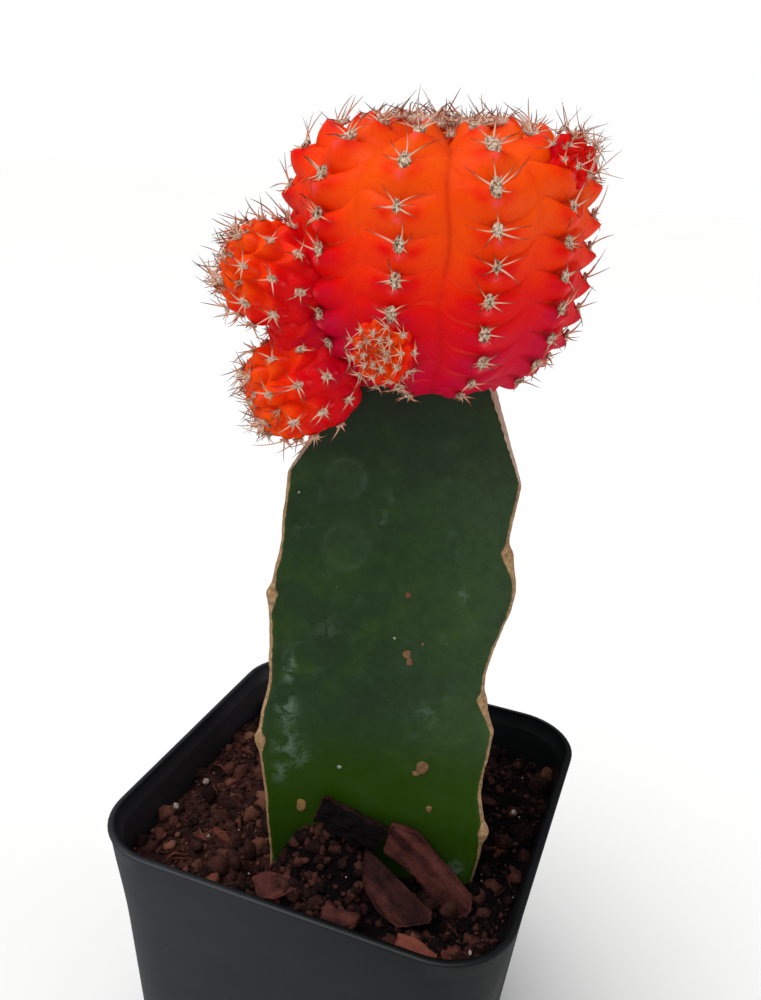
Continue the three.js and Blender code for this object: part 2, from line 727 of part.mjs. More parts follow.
function makeMix() {
  const inside = (z) => wallAt(z) - pot.wall - gap;
  const bottom = pot.floor + gap;
  const loops = [
    roundedSquare(inside(bottom) - 1.2, cornerAt(0) - pot.wall - 1.2, bottom, 5, 7),
    roundedSquare(inside(bottom + 1.4), cornerAt(0) - pot.wall, bottom + 1.4, 5, 7),
  ];
  const edge = inside(soil.level - 2.5);
  for (let ring = 0; ring < soil.rings; ring++) {
    const scale = 1 - ring / soil.rings;
    const loop = roundedSquare(edge * scale, cornerAt(soil.level) * scale * 0.9, 0, 5, 7);
    loops.push(loop.map((p) => {
      const wander = ring ? 0.8 : 0;
      const x = p.x + wander * (chance(ring, Math.round(p.x), 1) - 0.5);
      const y = p.y + wander * (chance(ring, Math.round(p.y), 2) - 0.5);
      const rough = ring ? soil.relief * (chance(ring, Math.round(p.x * 3), Math.round(p.y * 3)) - 0.5) : 0;
      return new THREE.Vector3(x, y, mixHeight(x, y) + rough);
    }));
  }
  const middle = new THREE.Vector3(0, 0, mixHeight(0, 0));
  let solid = loft(loops, new THREE.Vector3(0, 0, bottom), middle).subtract(makeStem(gap));
  for (const spec of chips) solid = solid.subtract(makeChip(spec, gap));
  return wholeBody(solid);
}

// ------------------------------------------------------------------ the part
const cactus = new THREE.Group();
const headPieces = makeHeads();
cactus.add(namedMesh("pot", makePot(), blackPlastic));
cactus.add(namedMesh("soil", makeMix(), pottingMix));
cactus.add(namedMesh("rootstock", makeRootstock(prepare(head)), greenSkin));
for (const { spec, solid } of headPieces) {
  cactus.add(namedMesh(spec.name, solid, spec.name === head.name ? redFlesh : youngFlesh));
}
chips.forEach((spec, index) => {
  let solid = makeChip(spec).subtract(makeStem(gap));
  for (const earlier of chips.slice(0, index)) solid = solid.subtract(makeChip(earlier, gap));
  cactus.add(namedMesh(`bark_chip_${index + 1}`, wholeBody(solid), bark));
});

export default cactus;
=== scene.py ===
import bpy
import numpy as np
from mathutils import Matrix, Vector
from mathutils.geometry import tessellate_polygon


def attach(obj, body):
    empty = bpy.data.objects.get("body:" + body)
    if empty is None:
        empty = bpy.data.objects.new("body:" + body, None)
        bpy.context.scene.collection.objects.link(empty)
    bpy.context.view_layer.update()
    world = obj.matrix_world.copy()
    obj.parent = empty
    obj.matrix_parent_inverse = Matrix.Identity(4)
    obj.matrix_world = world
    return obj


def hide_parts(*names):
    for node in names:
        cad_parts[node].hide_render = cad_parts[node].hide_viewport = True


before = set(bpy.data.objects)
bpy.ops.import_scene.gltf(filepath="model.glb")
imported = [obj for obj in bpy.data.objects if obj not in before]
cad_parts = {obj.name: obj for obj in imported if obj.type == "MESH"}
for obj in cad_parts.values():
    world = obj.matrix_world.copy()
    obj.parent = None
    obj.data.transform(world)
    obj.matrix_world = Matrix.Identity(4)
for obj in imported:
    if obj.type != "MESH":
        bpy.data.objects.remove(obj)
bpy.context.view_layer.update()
scene = bpy.context.scene
print("frame loaded")

# All shapes are worked out in millimetres and put into the meshes in metres.
rng = np.random.default_rng(12)


def mix(a, b, t):
    return a + (b - a) * t


def smooth(start, end, x):
    t = np.clip((x - start) / (end - start), 0, 1)
    return t * t * (3 - 2 * t)


def unit(v):
    return v / np.maximum(np.linalg.norm(v, axis=-1, keepdims=True), 1e-9)


def bell(x, width):
    return np.exp(-((x / width) ** 2))


# A repeatable value from 0 to 1 for three numbers: the fractional part of a large sine.
def chance(a, b, c):
    value = np.sin(a * 12.9898 + b * 78.233 + c * 37.719) * 43758.5453
    return value - np.floor(value)


# A repeatable value from -1 to 1 at each whole-number point, from mixing its bits.
def atLattice(whole, seed):
    mask = 0xFFFFFFFF
    bits = (whole @ np.array([374761393, 668265263, 1442695041]) + seed * 974634777) & mask
    bits = ((bits ^ (bits >> 13)) * 1274126177) & mask
    return ((bits ^ (bits >> 16)) & 0xFFFF) / 32767.5 - 1


# Value noise: corner values of cubes of the grain's size, eased between the corners. Each
# octave has half the size and half the strength of the one before.
def noise(points, grain, seed, octaves=3):
    total = np.zeros(points.shape[:-1])
    for octave in range(octaves):
        place = points / (grain / 2**octave)
        whole = np.floor(place).astype(np.int64)
        t = place - whole
        t = t * t * (3 - 2 * t)
        for corner in range(8):
            step = np.array([corner & 1, corner >> 1 & 1, corner >> 2])
            weight = np.prod(np.where(step == 1, t, 1 - t), axis=-1)
            total += weight * atLattice(whole + step, seed * 7 + octave) / 2**octave
    return total


# Quads of a sheet of rows x columns points whose columns close round.
def sheetFaces(rows, columns):
    row, column = np.mgrid[0 : rows - 1, 0:columns]
    beside = (column + 1) % columns
    corners = [row * columns + column, row * columns + beside]
    corners += [(row + 1) * columns + beside, (row + 1) * columns + column]
    return np.stack(corners, -1).reshape(-1, 4)


# Faces of a closed skin over rows x columns points, with two more points that close its ends.
def loftFaces(rows, columns):
    column = np.arange(columns)
    beside = (column + 1) % columns
    top = (rows - 1) * columns
    first = np.full(columns, rows * columns)
    low = np.stack([first, beside, column], -1)
    high = np.stack([first + 1, top + column, top + beside], -1)
    return [sheetFaces(rows, columns), low, high]


# A closed skin over a stack of loops (rows x columns x 3), with one point closing each end.
def loft(loops, first, last):
    points = np.concatenate([loops.reshape(-1, 3), [first, last]])
    return points, loftFaces(*loops.shape[:2])


# Copies of a small shape: its x, y and z run along each copy's own three axes.
def stamp(shape, centres, axes):
    points, faces = shape
    moved = centres[:, None] + np.einsum("pk,nkx->npx", points, axes)
    start = np.arange(len(centres))[:, None, None] * len(points)
    return moved.reshape(-1, 3), [(f[None] + start).reshape(-1, f.shape[1]) for f in faces]


# Round stalks along many paths (count x stations x 3): a ring stands square to the path at
# each station, and a point closes each end. Also gives how far along each point is, 0 to 1.
def stalks(paths, radii, sides):
    count, stations = paths.shape[:2]
    tangent = unit(np.gradient(paths, axis=1))
    side = unit(np.cross(tangent, [0.31, 0.57, 0.76]))
    other = np.cross(tangent, side)
    angle = (np.arange(sides) * 2 * np.pi / sides)[:, None]
    ring = np.cos(angle) * side[:, :, None] + np.sin(angle) * other[:, :, None]
    rings = paths[:, :, None] + radii[:, :, None, None] * ring
    ends = paths[:, [0, -1]] + tangent[:, [0, -1]] * radii[:, [0, -1], None] * [[-0.3], [1.5]]
    points = np.concatenate([rings.reshape(count, -1, 3), ends], axis=1)
    start = np.arange(count)[:, None, None] * points.shape[1]
    faces = [(f[None] + start).reshape(-1, f.shape[1]) for f in loftFaces(stations, sides)]
    share = np.concatenate([np.repeat(np.linspace(0, 1, stations), sides), [0, 1]])
    return points.reshape(-1, 3), faces, np.tile(share, count)


# Several shapes as one, with the face numbers moved on to match.
def gather(shapes):
    points, faces, start = [], [], 0
    for shapePoints, shapeFaces in shapes:
        points.append(shapePoints)
        faces += [f + start for f in shapeFaces]
        start += len(shapePoints)
    return np.concatenate(points), faces


# Puts a shape into Blender as a piece of the plant, with values for its points by name.
def makePiece(name, points, faces, finish, stands=(), values=None, flat=False):
    mesh = bpy.data.meshes.new(name)
    mesh.from_pydata((points * 0.001).tolist(), [], [f for part in faces for f in part.tolist()])
    mesh.polygons.foreach_set("use_smooth", np.full(len(mesh.polygons), not flat))
    for key, value in (values or {}).items():
        layer = mesh.attributes.new(key, "FLOAT", "POINT")
        layer.data.foreach_set("value", np.asarray(value, np.float32).ravel())
    mesh.materials.append(finish)
    mesh.update()
    piece = bpy.data.objects.new(name, mesh)
    scene.collection.objects.link(piece)
    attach(piece, "root")
    if stands:
        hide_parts(*stands)
    return piece


# The pebble is an icosahedron. Its corners are (0, 1, golden ratio) in all signs and turns.
def makePebble():
    golden = (1 + 5**0.5) / 2
    base = [(0, a, b * golden) for a in (-1, 1) for b in (-1, 1)]
    corners = np.array([p[i:] + p[:i] for i in range(3) for p in base], float)
    near = np.linalg.norm(corners[:, None] - corners, axis=-1) < 2.1
    faces = []
    for a in range(12):
        for b in range(a + 1, 12):
            for c in range(b + 1, 12):
                if near[a, b] and near[b, c] and near[a, c]:
                    out = np.dot(np.cross(corners[b] - corners[a], corners[c] - corners[a]), corners[a])
                    faces.append((a, b, c) if out > 0 else (a, c, b))
    return unit(corners), [np.array(faces)]


# Each face of a closed ball of triangles split in four, with the new corners pushed out.
def splitBall(shape):
    points, (faces,) = shape
    edges = np.sort(np.concatenate([faces[:, [0, 1]], faces[:, [1, 2]], faces[:, [2, 0]]]), axis=1)
    unique, place = np.unique(edges, axis=0, return_inverse=True)
    middle = unit(points[unique].mean(axis=1))
    ab, bc, ca = place.reshape(3, -1) + len(points)
    a, b, c = faces.T
    parts = [(a, ab, ca), (ab, b, bc), (ca, bc, c), (ab, bc, ca)]
    return np.concatenate([points, middle]), [np.concatenate([np.stack(p, -1) for p in parts])]


# Random turns: the three axes come from squaring up random vectors.
def randomTurns(count):
    first = unit(rng.normal(size=(count, 3)))
    second = unit(np.cross(first, rng.normal(size=(count, 3))))
    return np.stack([first, second, np.cross(first, second)], axis=1)


pebble = makePebble()
clod = splitBall(pebble)


# Shader helpers. Colours are given as screen values from 0 to 255, and what isn't a tuple is a
# socket, which passes through.
def colour(shade):
    if not isinstance(shade, tuple):
        return shade
    share = np.array(shade) / 255
    linear = np.where(share <= 0.04045, share / 12.92, ((share + 0.055) / 1.055) ** 2.4)
    return (*linear.tolist(), 1.0)


# Plain values are set on a node, and sockets of other nodes are linked to it.
def connect(tree, node, inputs):
    for key, value in inputs.items():
        if isinstance(value, bpy.types.NodeSocket):
            tree.links.new(value, node.inputs[key])
        else:
            node.inputs[key].default_value = value
    return node


def add(tree, kind, inputs=None, **settings):
    node = tree.nodes.new("ShaderNode" + kind)
    for key, value in settings.items():
        setattr(node, key, value)
    return connect(tree, node, inputs or {})


def calc(tree, operation, a, b, clamp=False):
    return add(tree, "Math", {0: a, 1: b}, operation=operation, use_clamp=clamp).outputs[0]


def plus(tree, a, b, clamp=False):
    return calc(tree, "ADD", a, b, clamp)


def times(tree, a, b, clamp=False):
    return calc(tree, "MULTIPLY", a, b, clamp)


# A pattern from 0 to 1, moved to stand round 0 with the strength given.
def around(tree, pattern, strength):
    return times(tree, calc(tree, "SUBTRACT", pattern, 0.5), strength)


def layer(tree, factor, under, over):
    inputs = {0: factor, 6: colour(under), 7: colour(over)}
    return add(tree, "Mix", inputs, data_type="RGBA").outputs[2]


# Coats over a base colour, in order: where each lies, how strong it is, and its colour.
def paint(tree, base, coats):
    for mask, share, shade in coats:
        base = layer(tree, times(tree, mask, share), base, shade)
    return base


def ramp(tree, factor, stops):
    node = add(tree, "ValToRGB", {0: factor})
    elements = node.color_ramp.elements
    while len(elements) < len(stops):
        elements.new(0.5)
    for element, (place, shade) in zip(elements, stops):
        element.position = place
        element.color = colour(shade)
    return node.outputs[0]


# How far a value has run from one number to another, eased, from 0 to 1.
def band(tree, value, low, high):
    inputs = {0: value, 1: low, 2: high}
    return add(tree, "MapRange", inputs, interpolation_type="SMOOTHSTEP").outputs[0]


# A share from 0 to 1 as a value between two numbers.
def between(tree, share, low, high):
    return add(tree, "MapRange", {0: share, 3: low, 4: high}).outputs[0]


def valueOf(tree, name):
    return add(tree, "Attribute", attribute_name=name).outputs["Fac"]


def objectPlace(tree):
    return add(tree, "TexCoord").outputs["Object"]


def axisOf(tree, place, axis):
    return add(tree, "SeparateXYZ", {0: place}).outputs[axis]


# A cloudy pattern, with the size of its patches in millimetres.
def cloud(tree, place, size, detail=3.0, rough=0.55, distort=0.0):
    inputs = {"Vector": place, "Scale": 1000 / size, "Detail": detail}
    inputs |= {"Roughness": rough, "Distortion": distort}
    return add(tree, "TexNoise", inputs).outputs[0]


# Values and sockets onto a shader's own sockets, by name.
def feed(tree, shader, **inputs):
    connect(tree, shader, {key.replace("_", " "): value for key, value in inputs.items()})


def newFinish(name, **constants):
    finish = bpy.data.materials.new(name)
    finish.use_nodes = True
    tree = finish.node_tree
    tree.nodes.clear()
    shader = add(tree, "BsdfPrincipled")
    add(tree, "OutputMaterial", {0: shader.outputs[0]})
    feed(tree, shader, **constants)
    return finish, tree, shader


# Relief from a pattern, with its depth in millimetres.
def bump(tree, height, depth, strength):
    inputs = {"Height": height, "Distance": depth * 0.001, "Strength": strength}
    return add(tree, "Bump", inputs).outputs[0]


# A shared effect that gives a mask. Its inputs are numbers, apart from the place.
def newGroup(name, numbers):
    group = bpy.data.node_groups.new(name, "ShaderNodeTree")
    group.interface.new_socket("Vector", in_out="INPUT", socket_type="NodeSocketVector")
    for key, value in numbers.items():
        socket = group.interface.new_socket(key, in_out="INPUT", socket_type="NodeSocketFloat")
        socket.default_value = value
    group.interface.new_socket("Mask", in_out="OUTPUT", socket_type="NodeSocketFloat")
    return group, group.nodes.new("NodeGroupInput").outputs, group.nodes.new("NodeGroupOutput").inputs


def useGroup(tree, group, **inputs):
    return connect(tree, add(tree, "Group", node_tree=group), inputs).outputs["Mask"]


# Fine specks: cells of a random pattern, of which a share shows a dot of varying size.
def makeSpecks():
    group, given, result = newGroup("specks", {"Spacing": 1.0, "Share": 0.3, "Dot": 0.25})
    scale = calc(group, "DIVIDE", 1000.0, given["Spacing"])
    cells = add(group, "TexVoronoi", {"Vector": given["Vector"], "Scale": scale})
    pick = add(group, "SeparateColor", {0: cells.outputs["Color"]}).outputs
    reach = times(group, given["Dot"], plus(group, pick[1], 0.35))
    dot = times(group, calc(group, "SUBTRACT", reach, cells.outputs["Distance"]), 12.0, clamp=True)
    chosen = calc(group, "LESS_THAN", pick[0], given["Share"])
    group.links.new(times(group, dot, chosen), result["Mask"])
    return group


# Dust: clouds that settle on what faces up.
def makeDust():
    group, given, result = newGroup("settled dust", {"Size": 8.0, "Amount": 0.5})
    scale = calc(group, "DIVIDE", 1000.0, given["Size"])
    inputs = {"Vector": given["Vector"], "Scale": scale, "Detail": 6.0, "Roughness": 0.65}
    patches = band(group, add(group, "TexNoise", inputs).outputs[0], 0.4, 0.75)
    normal = add(group, "NewGeometry").outputs["Normal"]
    facing = band(group, axisOf(group, normal, 2), -0.6, 1.0)
    group.links.new(times(group, times(group, patches, facing), given["Amount"]), result["Mask"])
    return group


specks = makeSpecks()
dust = makeDust()
print("helpers and shared effects ready")


# Camera and light.
view = {
    "place": (53.3, -153.5, 193.4),  # mm
    "yaw": 19.1,
    "pitch": 20.2,
    "roll": 4.3,  # degrees
    "lens": 33.54,
    "sensor": 36.0,  # both mm
}


# The camera looks along its yaw and pitch, and is then rolled about that line.
def makeCamera():
    yaw, pitch, roll = np.radians([view["yaw"], view["pitch"], view["roll"]])
    ahead = np.array([-np.sin(yaw) * np.cos(pitch), np.cos(yaw) * np.cos(pitch), -np.sin(pitch)])
    level = np.array([np.cos(yaw), np.sin(yaw), 0])
    upright = np.cross(level, ahead)
    right = np.cos(roll) * level + np.sin(roll) * upright
    up = np.cos(roll) * upright - np.sin(roll) * level
    data = bpy.data.cameras.new("camera")
    data.sensor_fit = "VERTICAL"
    data.sensor_height = view["sensor"]
    data.sensor_width = view["sensor"]
    data.lens = view["lens"]
    data.clip_start = 0.01
    data.clip_end = 50
    camera = bpy.data.objects.new("camera", data)
    turn = Matrix(np.stack([right, up, -ahead], axis=1).tolist()).to_4x4()
    camera.matrix_world = Matrix.Translation(Vector(view["place"]) * 0.001) @ turn
    scene.collection.objects.link(camera)
    scene.camera = camera


lightSize = {
    "ambient": 0.52,  # the white surround, as it lights the plant
    "mirrored": 0.1,  # and as it shows in reflections
    "sun": 2.1,
    "sunAngle": 60,  # how soft the sun is, degrees
    "sunFrom": (235, 62),  # azimuth and height, degrees
    "lampAt": (0.7, 0.12, 0.22),  # the strip lamp on the right, metres
    "lampSize": (0.1, 0.4),
    "lampPower": 0.5,
    "aim": (0, 0, 0.12),
}


def makeLamp():
    data = bpy.data.lights.new("right", "AREA")
    data.shape = "RECTANGLE"
    data.size, data.size_y = lightSize["lampSize"]
    data.energy = lightSize["lampPower"]
    lamp = bpy.data.objects.new("right", data)
    away = Vector(lightSize["lampAt"]) - Vector(lightSize["aim"])
    turn = away.to_track_quat("Z", "Y").to_matrix().to_4x4()
    lamp.matrix_world = Matrix.Translation(lightSize["lampAt"]) @ turn
    scene.collection.objects.link(lamp)


# A white surround. It lights all round, but reflections see it dimmed, as in a room whose
# far side is dark.
def makeSurround():
    world = bpy.data.worlds.new("surround")
    scene.world = world
    world.use_nodes = True
    tree = world.node_tree
    tree.nodes.clear()
    path = add(tree, "LightPath").outputs
    seen = calc(tree, "MAXIMUM", path["Is Camera Ray"], lightSize["ambient"])
    dimmed = times(tree, path["Is Glossy Ray"], lightSize["ambient"] - lightSize["mirrored"])
    strength = calc(tree, "SUBTRACT", seen, dimmed)
    shine = add(tree, "Background", {"Color": (1, 1, 1, 1), "Strength": strength})
    add(tree, "OutputWorld", {0: shine.outputs[0]})


# The main light: a very soft sun, high on the left.
def makeSun():
    data = bpy.data.lights.new("softSun", "SUN")
    data.energy = lightSize["sun"]
    data.angle = np.radians(lightSize["sunAngle"])
    azimuth, height = np.radians(lightSize["sunFrom"])
    away = Vector((np.cos(azimuth) * np.cos(height), np.sin(azimuth) * np.cos(height), np.sin(height)))
    sun = bpy.data.objects.new("softSun", data)
    sun.matrix_world = away.to_track_quat("Z", "Y").to_matrix().to_4x4()
    scene.collection.objects.link(sun)


def makeFloor():
    finish, tree, shader = newFinish("paleFloor", Roughness=0.9, Specular_IOR_Level=0.1)
    shade = cloud(tree, objectPlace(tree), 400)
    pale = ramp(tree, shade, [(0, (244, 244, 244)), (1, (249, 249, 248))])
    # Reflections see the floor painted darker than it is.
    mirrored = add(tree, "LightPath").outputs["Is Glossy Ray"]
    feed(tree, shader, Base_Color=paint(tree, pale, [(mirrored, 0.7, (89, 89, 89))]))
    mesh = bpy.data.meshes.new("floor")
    mesh.from_pydata([(-6, -6, 0), (6, -6, 0), (6, 6, 0), (-6, 6, 0)], [], [(0, 1, 2, 3)])
    mesh.materials.append(finish)
    floor = bpy.data.objects.new("floor", mesh)
    scene.collection.objects.link(floor)


makeCamera()
makeSurround()
makeFloor()
makeSun()
makeLamp()
scene.view_settings.view_transform = "Standard"
print("camera and light ready")

# Sizes in millimetres, which the pieces share with the solids.
potSize = {
    "side": 80,
    "height": 72,
    "taper": 6.4,
    "cornerAtRim": 13.5,
    "cornerAtBase": 10,
    "lip": 0.9,  # how much wider the rim is; the flare starts at flareFrom
    "flareFrom": 50,
    "rimWidth": 1.4,
    "rimRound": 0.6,
    "innerRound": 0.5,
    "footRound": 1.2,
    "wall": 1.2,
    "floor": 1.6,
    "drainRadius": 4,
    "drainOffset": 19,
    "drainSides": 28,
}


def wallAt(z):
    return potSize["side"] / 2 - potSize["lip"] - potSize["taper"] * (1 - z / potSize["height"])


def cornerAt(z):
    return mix(potSize["cornerAtBase"], potSize["cornerAtRim"], z / potSize["height"])


# A rounded square, counterclockwise from above: quarter circles of the corner's radius, set
# in from the sides, joined by straight runs. half, corner and z may be columns of rows.
def roundedSquare(half, corner, z, cornerSteps=14, sideSteps=16):
    half, corner, z = (np.asarray(v, float).reshape(-1, 1, 1, 1) for v in (half, corner, z))
    quarter = np.arange(4)[:, None]
    turn, angle = (np.pi / 2 * (quarter + part) for part in (0.5, np.linspace(0, 1, cornerSteps)))
    middle, arc = (np.stack([np.cos(v), np.sin(v)], -1) for v in (turn, angle))
    arcs = (half - corner) * 2**0.5 * middle + corner * arc
    along = np.linspace(0, 1, sideSteps + 1)[1:-1, None]
    sides = mix(arcs[:, :, -1:], np.roll(arcs, -1, axis=1)[:, :, :1], along)
    loop = np.concatenate([arcs, sides], axis=2).reshape(len(half), -1, 2)
    return np.concatenate([loop, z[:, :, 0] + 0 * loop[..., :1]], axis=-1)


def blackPlastic():
    finish, tree, shader = newFinish("blackPlastic", Specular_IOR_Level=0.36, IOR=1.5)
    place = objectPlace(tree)
    settled = useGroup(tree, dust, Vector=place, Size=9.0, Amount=0.32)
    motes = useGroup(tree, specks, Vector=place, Spacing=2.6, Share=0.16, Dot=0.075)
    toRight = band(tree, axisOf(tree, place, 0), -0.03, 0.035)
    body = ramp(tree, cloud(tree, place, 22, 3), [(0.25, (27, 35, 40)), (0.75, (38, 47, 53))])
    body = paint(tree, body, [
        (settled, 1, (92, 92, 88)),
        (motes, 0.6, (132, 130, 122)),
        # painted shade: the pot is darker towards its right side, away from the light
        (toRight, 0.9, (10, 15, 18)),
        # painted shade on the rim's top and inside the pot, darker again to the right
        (valueOf(tree, "innerShade"), 1, layer(tree, toRight, (42, 42, 47), (11, 14, 16))),
    ])
    rough = plus(tree, between(tree, cloud(tree, place, 6, 4), 0.34, 0.52), times(tree, settled, 0.4))
    relief = bump(tree, cloud(tree, place, 0.5, 2), 0.02, 0.6)
    feed(tree, shader, Base_Color=body, Roughness=rough, Normal=relief)
    return finish


# The pot's profile runs up the outside, over the rim and down the inside. Each corner of the
# profile is a short arc. The floor and its underside are flat plates with four round holes.
def makePot():
    rim, wall, floor = potSize["height"], potSize["wall"], potSize["floor"]
    profile = []  # half width, corner radius, height

    def station(out, z, corner=None, half=None):
        corner = cornerAt(z) if corner is None else corner
        profile.append(((wallAt(z) if half is None else half) + out, corner + out, z))

    size = potSize["footRound"]
    for angle in np.radians([0, 22, 45, 68, 90]):
        station(size * (np.sin(angle) - 1), size * (1 - np.cos(angle)), cornerAt(0))
    size = potSize["rimRound"]
    for z in np.linspace(3, rim - size, 20):
        station(potSize["lip"] * smooth(potSize["flareFrom"], rim, z), z)
    atRim = potSize["cornerAtRim"], potSize["side"] / 2
    for angle in np.radians([25, 50, 70, 90]):
        station(size * (np.cos(angle) - 1), rim - size * (1 - np.sin(angle)), *atRim)
    size = potSize["innerRound"]
    for angle in np.radians([90, 60, 30, 0]):
        station(size * np.cos(angle) - potSize["rimWidth"], rim - size * (1 - np.sin(angle)), *atRim)
    station(0.1 - wall, rim - 3)
    for z in np.linspace(rim - 3.6, floor + 1.5, 8):
        station(-wall, z)
    for angle in np.radians([0, 45, 90]):
        station(np.cos(angle) - 1 - wall, floor + 1 - np.sin(angle), cornerAt(0))
    half, corner, height = np.array(profile).T
    loops = roundedSquare(half, corner, height)
    rows, columns = loops.shape[:2]
    sides = potSize["drainSides"]
    circle = np.arange(sides) * 2 * np.pi / sides
    ring = np.stack([np.cos(circle), np.sin(circle), 0 * circle], -1) * potSize["drainRadius"]
    turns = [(1, 1), (-1, 1), (-1, -1), (1, -1)]
    away = potSize["drainOffset"]
    holes = [ring + [x * away, y * away, z] for z in (0, floor) for x, y in turns]
    points = np.concatenate([loops.reshape(-1, 3), *holes])
    faces = [sheetFaces(rows, columns)]
    first = rows * columns
    for plate, (edge, facing) in enumerate([(0, -1), ((rows - 1) * columns, 1)]):
        numbers = [np.arange(columns) + edge]
        numbers += [np.arange(sides) + first + (plate * 4 + hole) * sides for hole in range(4)]
        outlines = [[Vector(points[i]) for i in group] for group in numbers]
        flat = np.concatenate(numbers)[np.array(tessellate_polygon(outlines))]
        a, b, c = (points[flat[:, i]] for i in range(3))
        turned = np.cross(b - a, c - a)[:, 2] * facing < 0
        flat[turned] = flat[turned][:, ::-1]
        faces.append(flat)
    for hole in range(4):
        low = first + hole * sides + np.arange(sides)
        nextLow = np.roll(low, -1)
        faces.append(np.stack([nextLow, low, low + 4 * sides, nextLow + 4 * sides], -1))
    down = rim - height
    isInside = np.arange(rows) > np.argmax(height)
    # Painted shade on the rim's top and down the inner wall, by depth below the rim.
    innerShade = np.maximum(0.6 * smooth(1, 0.4, down), smooth(0.5, 3, down) * isInside)
    innerShade = np.append(np.repeat(innerShade, columns), np.zeros(8 * sides))
    values = {"innerShade": innerShade}
    pot = makePiece("nursery_pot", points, faces, blackPlastic(), ["pot"], values)
    ends = np.zeros(len(pot.data.edges) * 2, np.int32)
    pot.data.edges.foreach_get("vertices", ends)
    sharp = pot.data.attributes.new("sharp_edge", "BOOLEAN", "EDGE")
    sharp.data.foreach_set("value", (ends.reshape(-1, 2) >= first).any(axis=1))


makePot()
print("pot ready")

stemSize = {
    "faceMiddle": np.array([9.5, -16.8, 0]),
    "turn": 17.2,  # of the front face, degrees
    "depth": 33,
    "halfWidth": 20,
    "marginRadius": 1.2,
    "frontSag": 1.2,
    "sideSag": 3.2,
    "bottom": 40,
    "top": 161.5,
    "shoulders": [143.9, 146.1, 142.5],
    "cutFacing": [-171, -9, 90],  # which way each wing's cut faces
    "cutReach": [20.1, 20.1, 22],  # from the stem's middle to the cut at the shoulder
    "cutSlopes": [0.644, 0.43, 0.5],
    "margins": [  # height above the mix, then reach from the middle
        [(0, 19.5), (14, 20.6), (30, 22.4), (44, 20.9), (57, 21.3), (70, 19.6), (82, 19)],
        [(0, 19.8), (12, 20.6), (22, 19), (34, 19.8), (42, 17.1), (63, 20.6), (71, 18.6), (82, 19.4)],
        [(0, 20), (18, 21.2), (33, 19), (50, 21), (64, 18.8), (82, 20)],
    ],
    "knobs": [[59, 30], [69.5, 40.7, 13.5], [28, 57]],  # heights of the margins' old areoles
    "knobSize": (0.75, 1.2, 2.4),  # how far they stand out, how tall above and below
    # scars on the front face: along it, height above the mix, width, height, tone
    "scars": [
        (2.6, 60.4, 1.1, 1.2, 0.2), (3.3, 48.4, 1.3, 1.9, 0.45), (3.9, 46.9, 1.1, 1.5, 0.4),
        (8.0, 25.6, 2.6, 3.0, 0.4), (7.0, 24.2, 1.9, 1.0, 0.45), (10.0, 16.8, 1.0, 1.3, 0.5),
        (-14.0, 15.2, 1.9, 3.1, 0.55), (-7.3, 24.2, 0.8, 0.7, 0.9), (0.9, 51.6, 0.7, 0.5, 0.85),
        (5.9, 50.8, 0.6, 0.6, 0.5), (-16.9, 77.5, 0.4, 0.5, 0.9),
    ],
    # soft rings left by water: along the face, height above the mix, radius, ring width
    "rings": [(-8.7, 68.3, 3.8, 0.55), (-9.4, 80.2, 3.2, 0.5)],
    # scuffs: along the face, height above the mix, width, height, strength
    "scuffs": [
        (-17.2, 44.6, 1.0, 2.6, 1), (-17.4, 36, 1.5, 2.6, 1), (-17, 29, 2.0, 3.0, 0.8),
        (-14.8, 26, 2.4, 2.2, 0.5), (-18, 23, 1.2, 2.4, 0.8), (7.6, 37, 1.6, 1.4, 0.4),
        (-1.8, 77.7, 0.5, 1.1, 0.4), (-2.7, 73.5, 0.4, 1.6, 0.5), (11.9, 61, 0.6, 1.8, 0.6),
        (16, 3.9, 1.6, 1.8, 0.9), (-16, 72, 1.6, 1.1, 0.4), (-11, 52, 2.4, 2.4, 0.25),
    ],
    "marginFacing": [-150, -30, 90],  # from the front face, degrees
    "faceFacing": [-90, 30, 150],
    "beadSteps": 11,
    "faceSteps": 46,
}
mixLevel = 63
faceTurn = np.radians(stemSize["turn"])
alongFace = np.array([np.cos(faceTurn), np.sin(faceTurn), 0])
intoFace = np.array([-np.sin(faceTurn), np.cos(faceTurn), 0])
stemMiddle = stemSize["faceMiddle"] + intoFace * stemSize["depth"] / 3


def facing(degrees):
    angle = np.radians(degrees) + faceTurn
    return np.array([np.cos(angle), np.sin(angle), 0])


# A margin's reach at a height, eased from one of its listed places to the next.
def marginReach(side, height):
    places = np.array(stemSize["margins"][side], float)
    height = np.clip(height, places[0, 0], places[-1, 0])
    i = np.clip(np.searchsorted(places[:, 0], height, side="right"), 1, len(places) - 1)
    t = smooth(0, 1, (height - places[i - 1, 0]) / (places[i, 0] - places[i - 1, 0]))
    return mix(places[i - 1, 1], places[i, 1], t)


def wingShare(z, side):
    root = mix(0.72, 1, smooth(stemSize["bottom"], mixLevel - 4, z))
    return marginReach(side, z - mixLevel) / stemSize["halfWidth"] * root


# Where the middle of a rounded margin stands at each height.
def marginCorner(side, z):
    radius = stemSize["marginRadius"]
    s = [-1, 1, 0][side] * (stemSize["halfWidth"] - radius)
    back = stemSize["depth"] - radius if side == 2 else radius
    full = stemSize["faceMiddle"] + alongFace * s + intoFace * back
    place = mix(stemMiddle, full, wingShare(z, side)[:, None])
    place[:, 2] = z
    return place


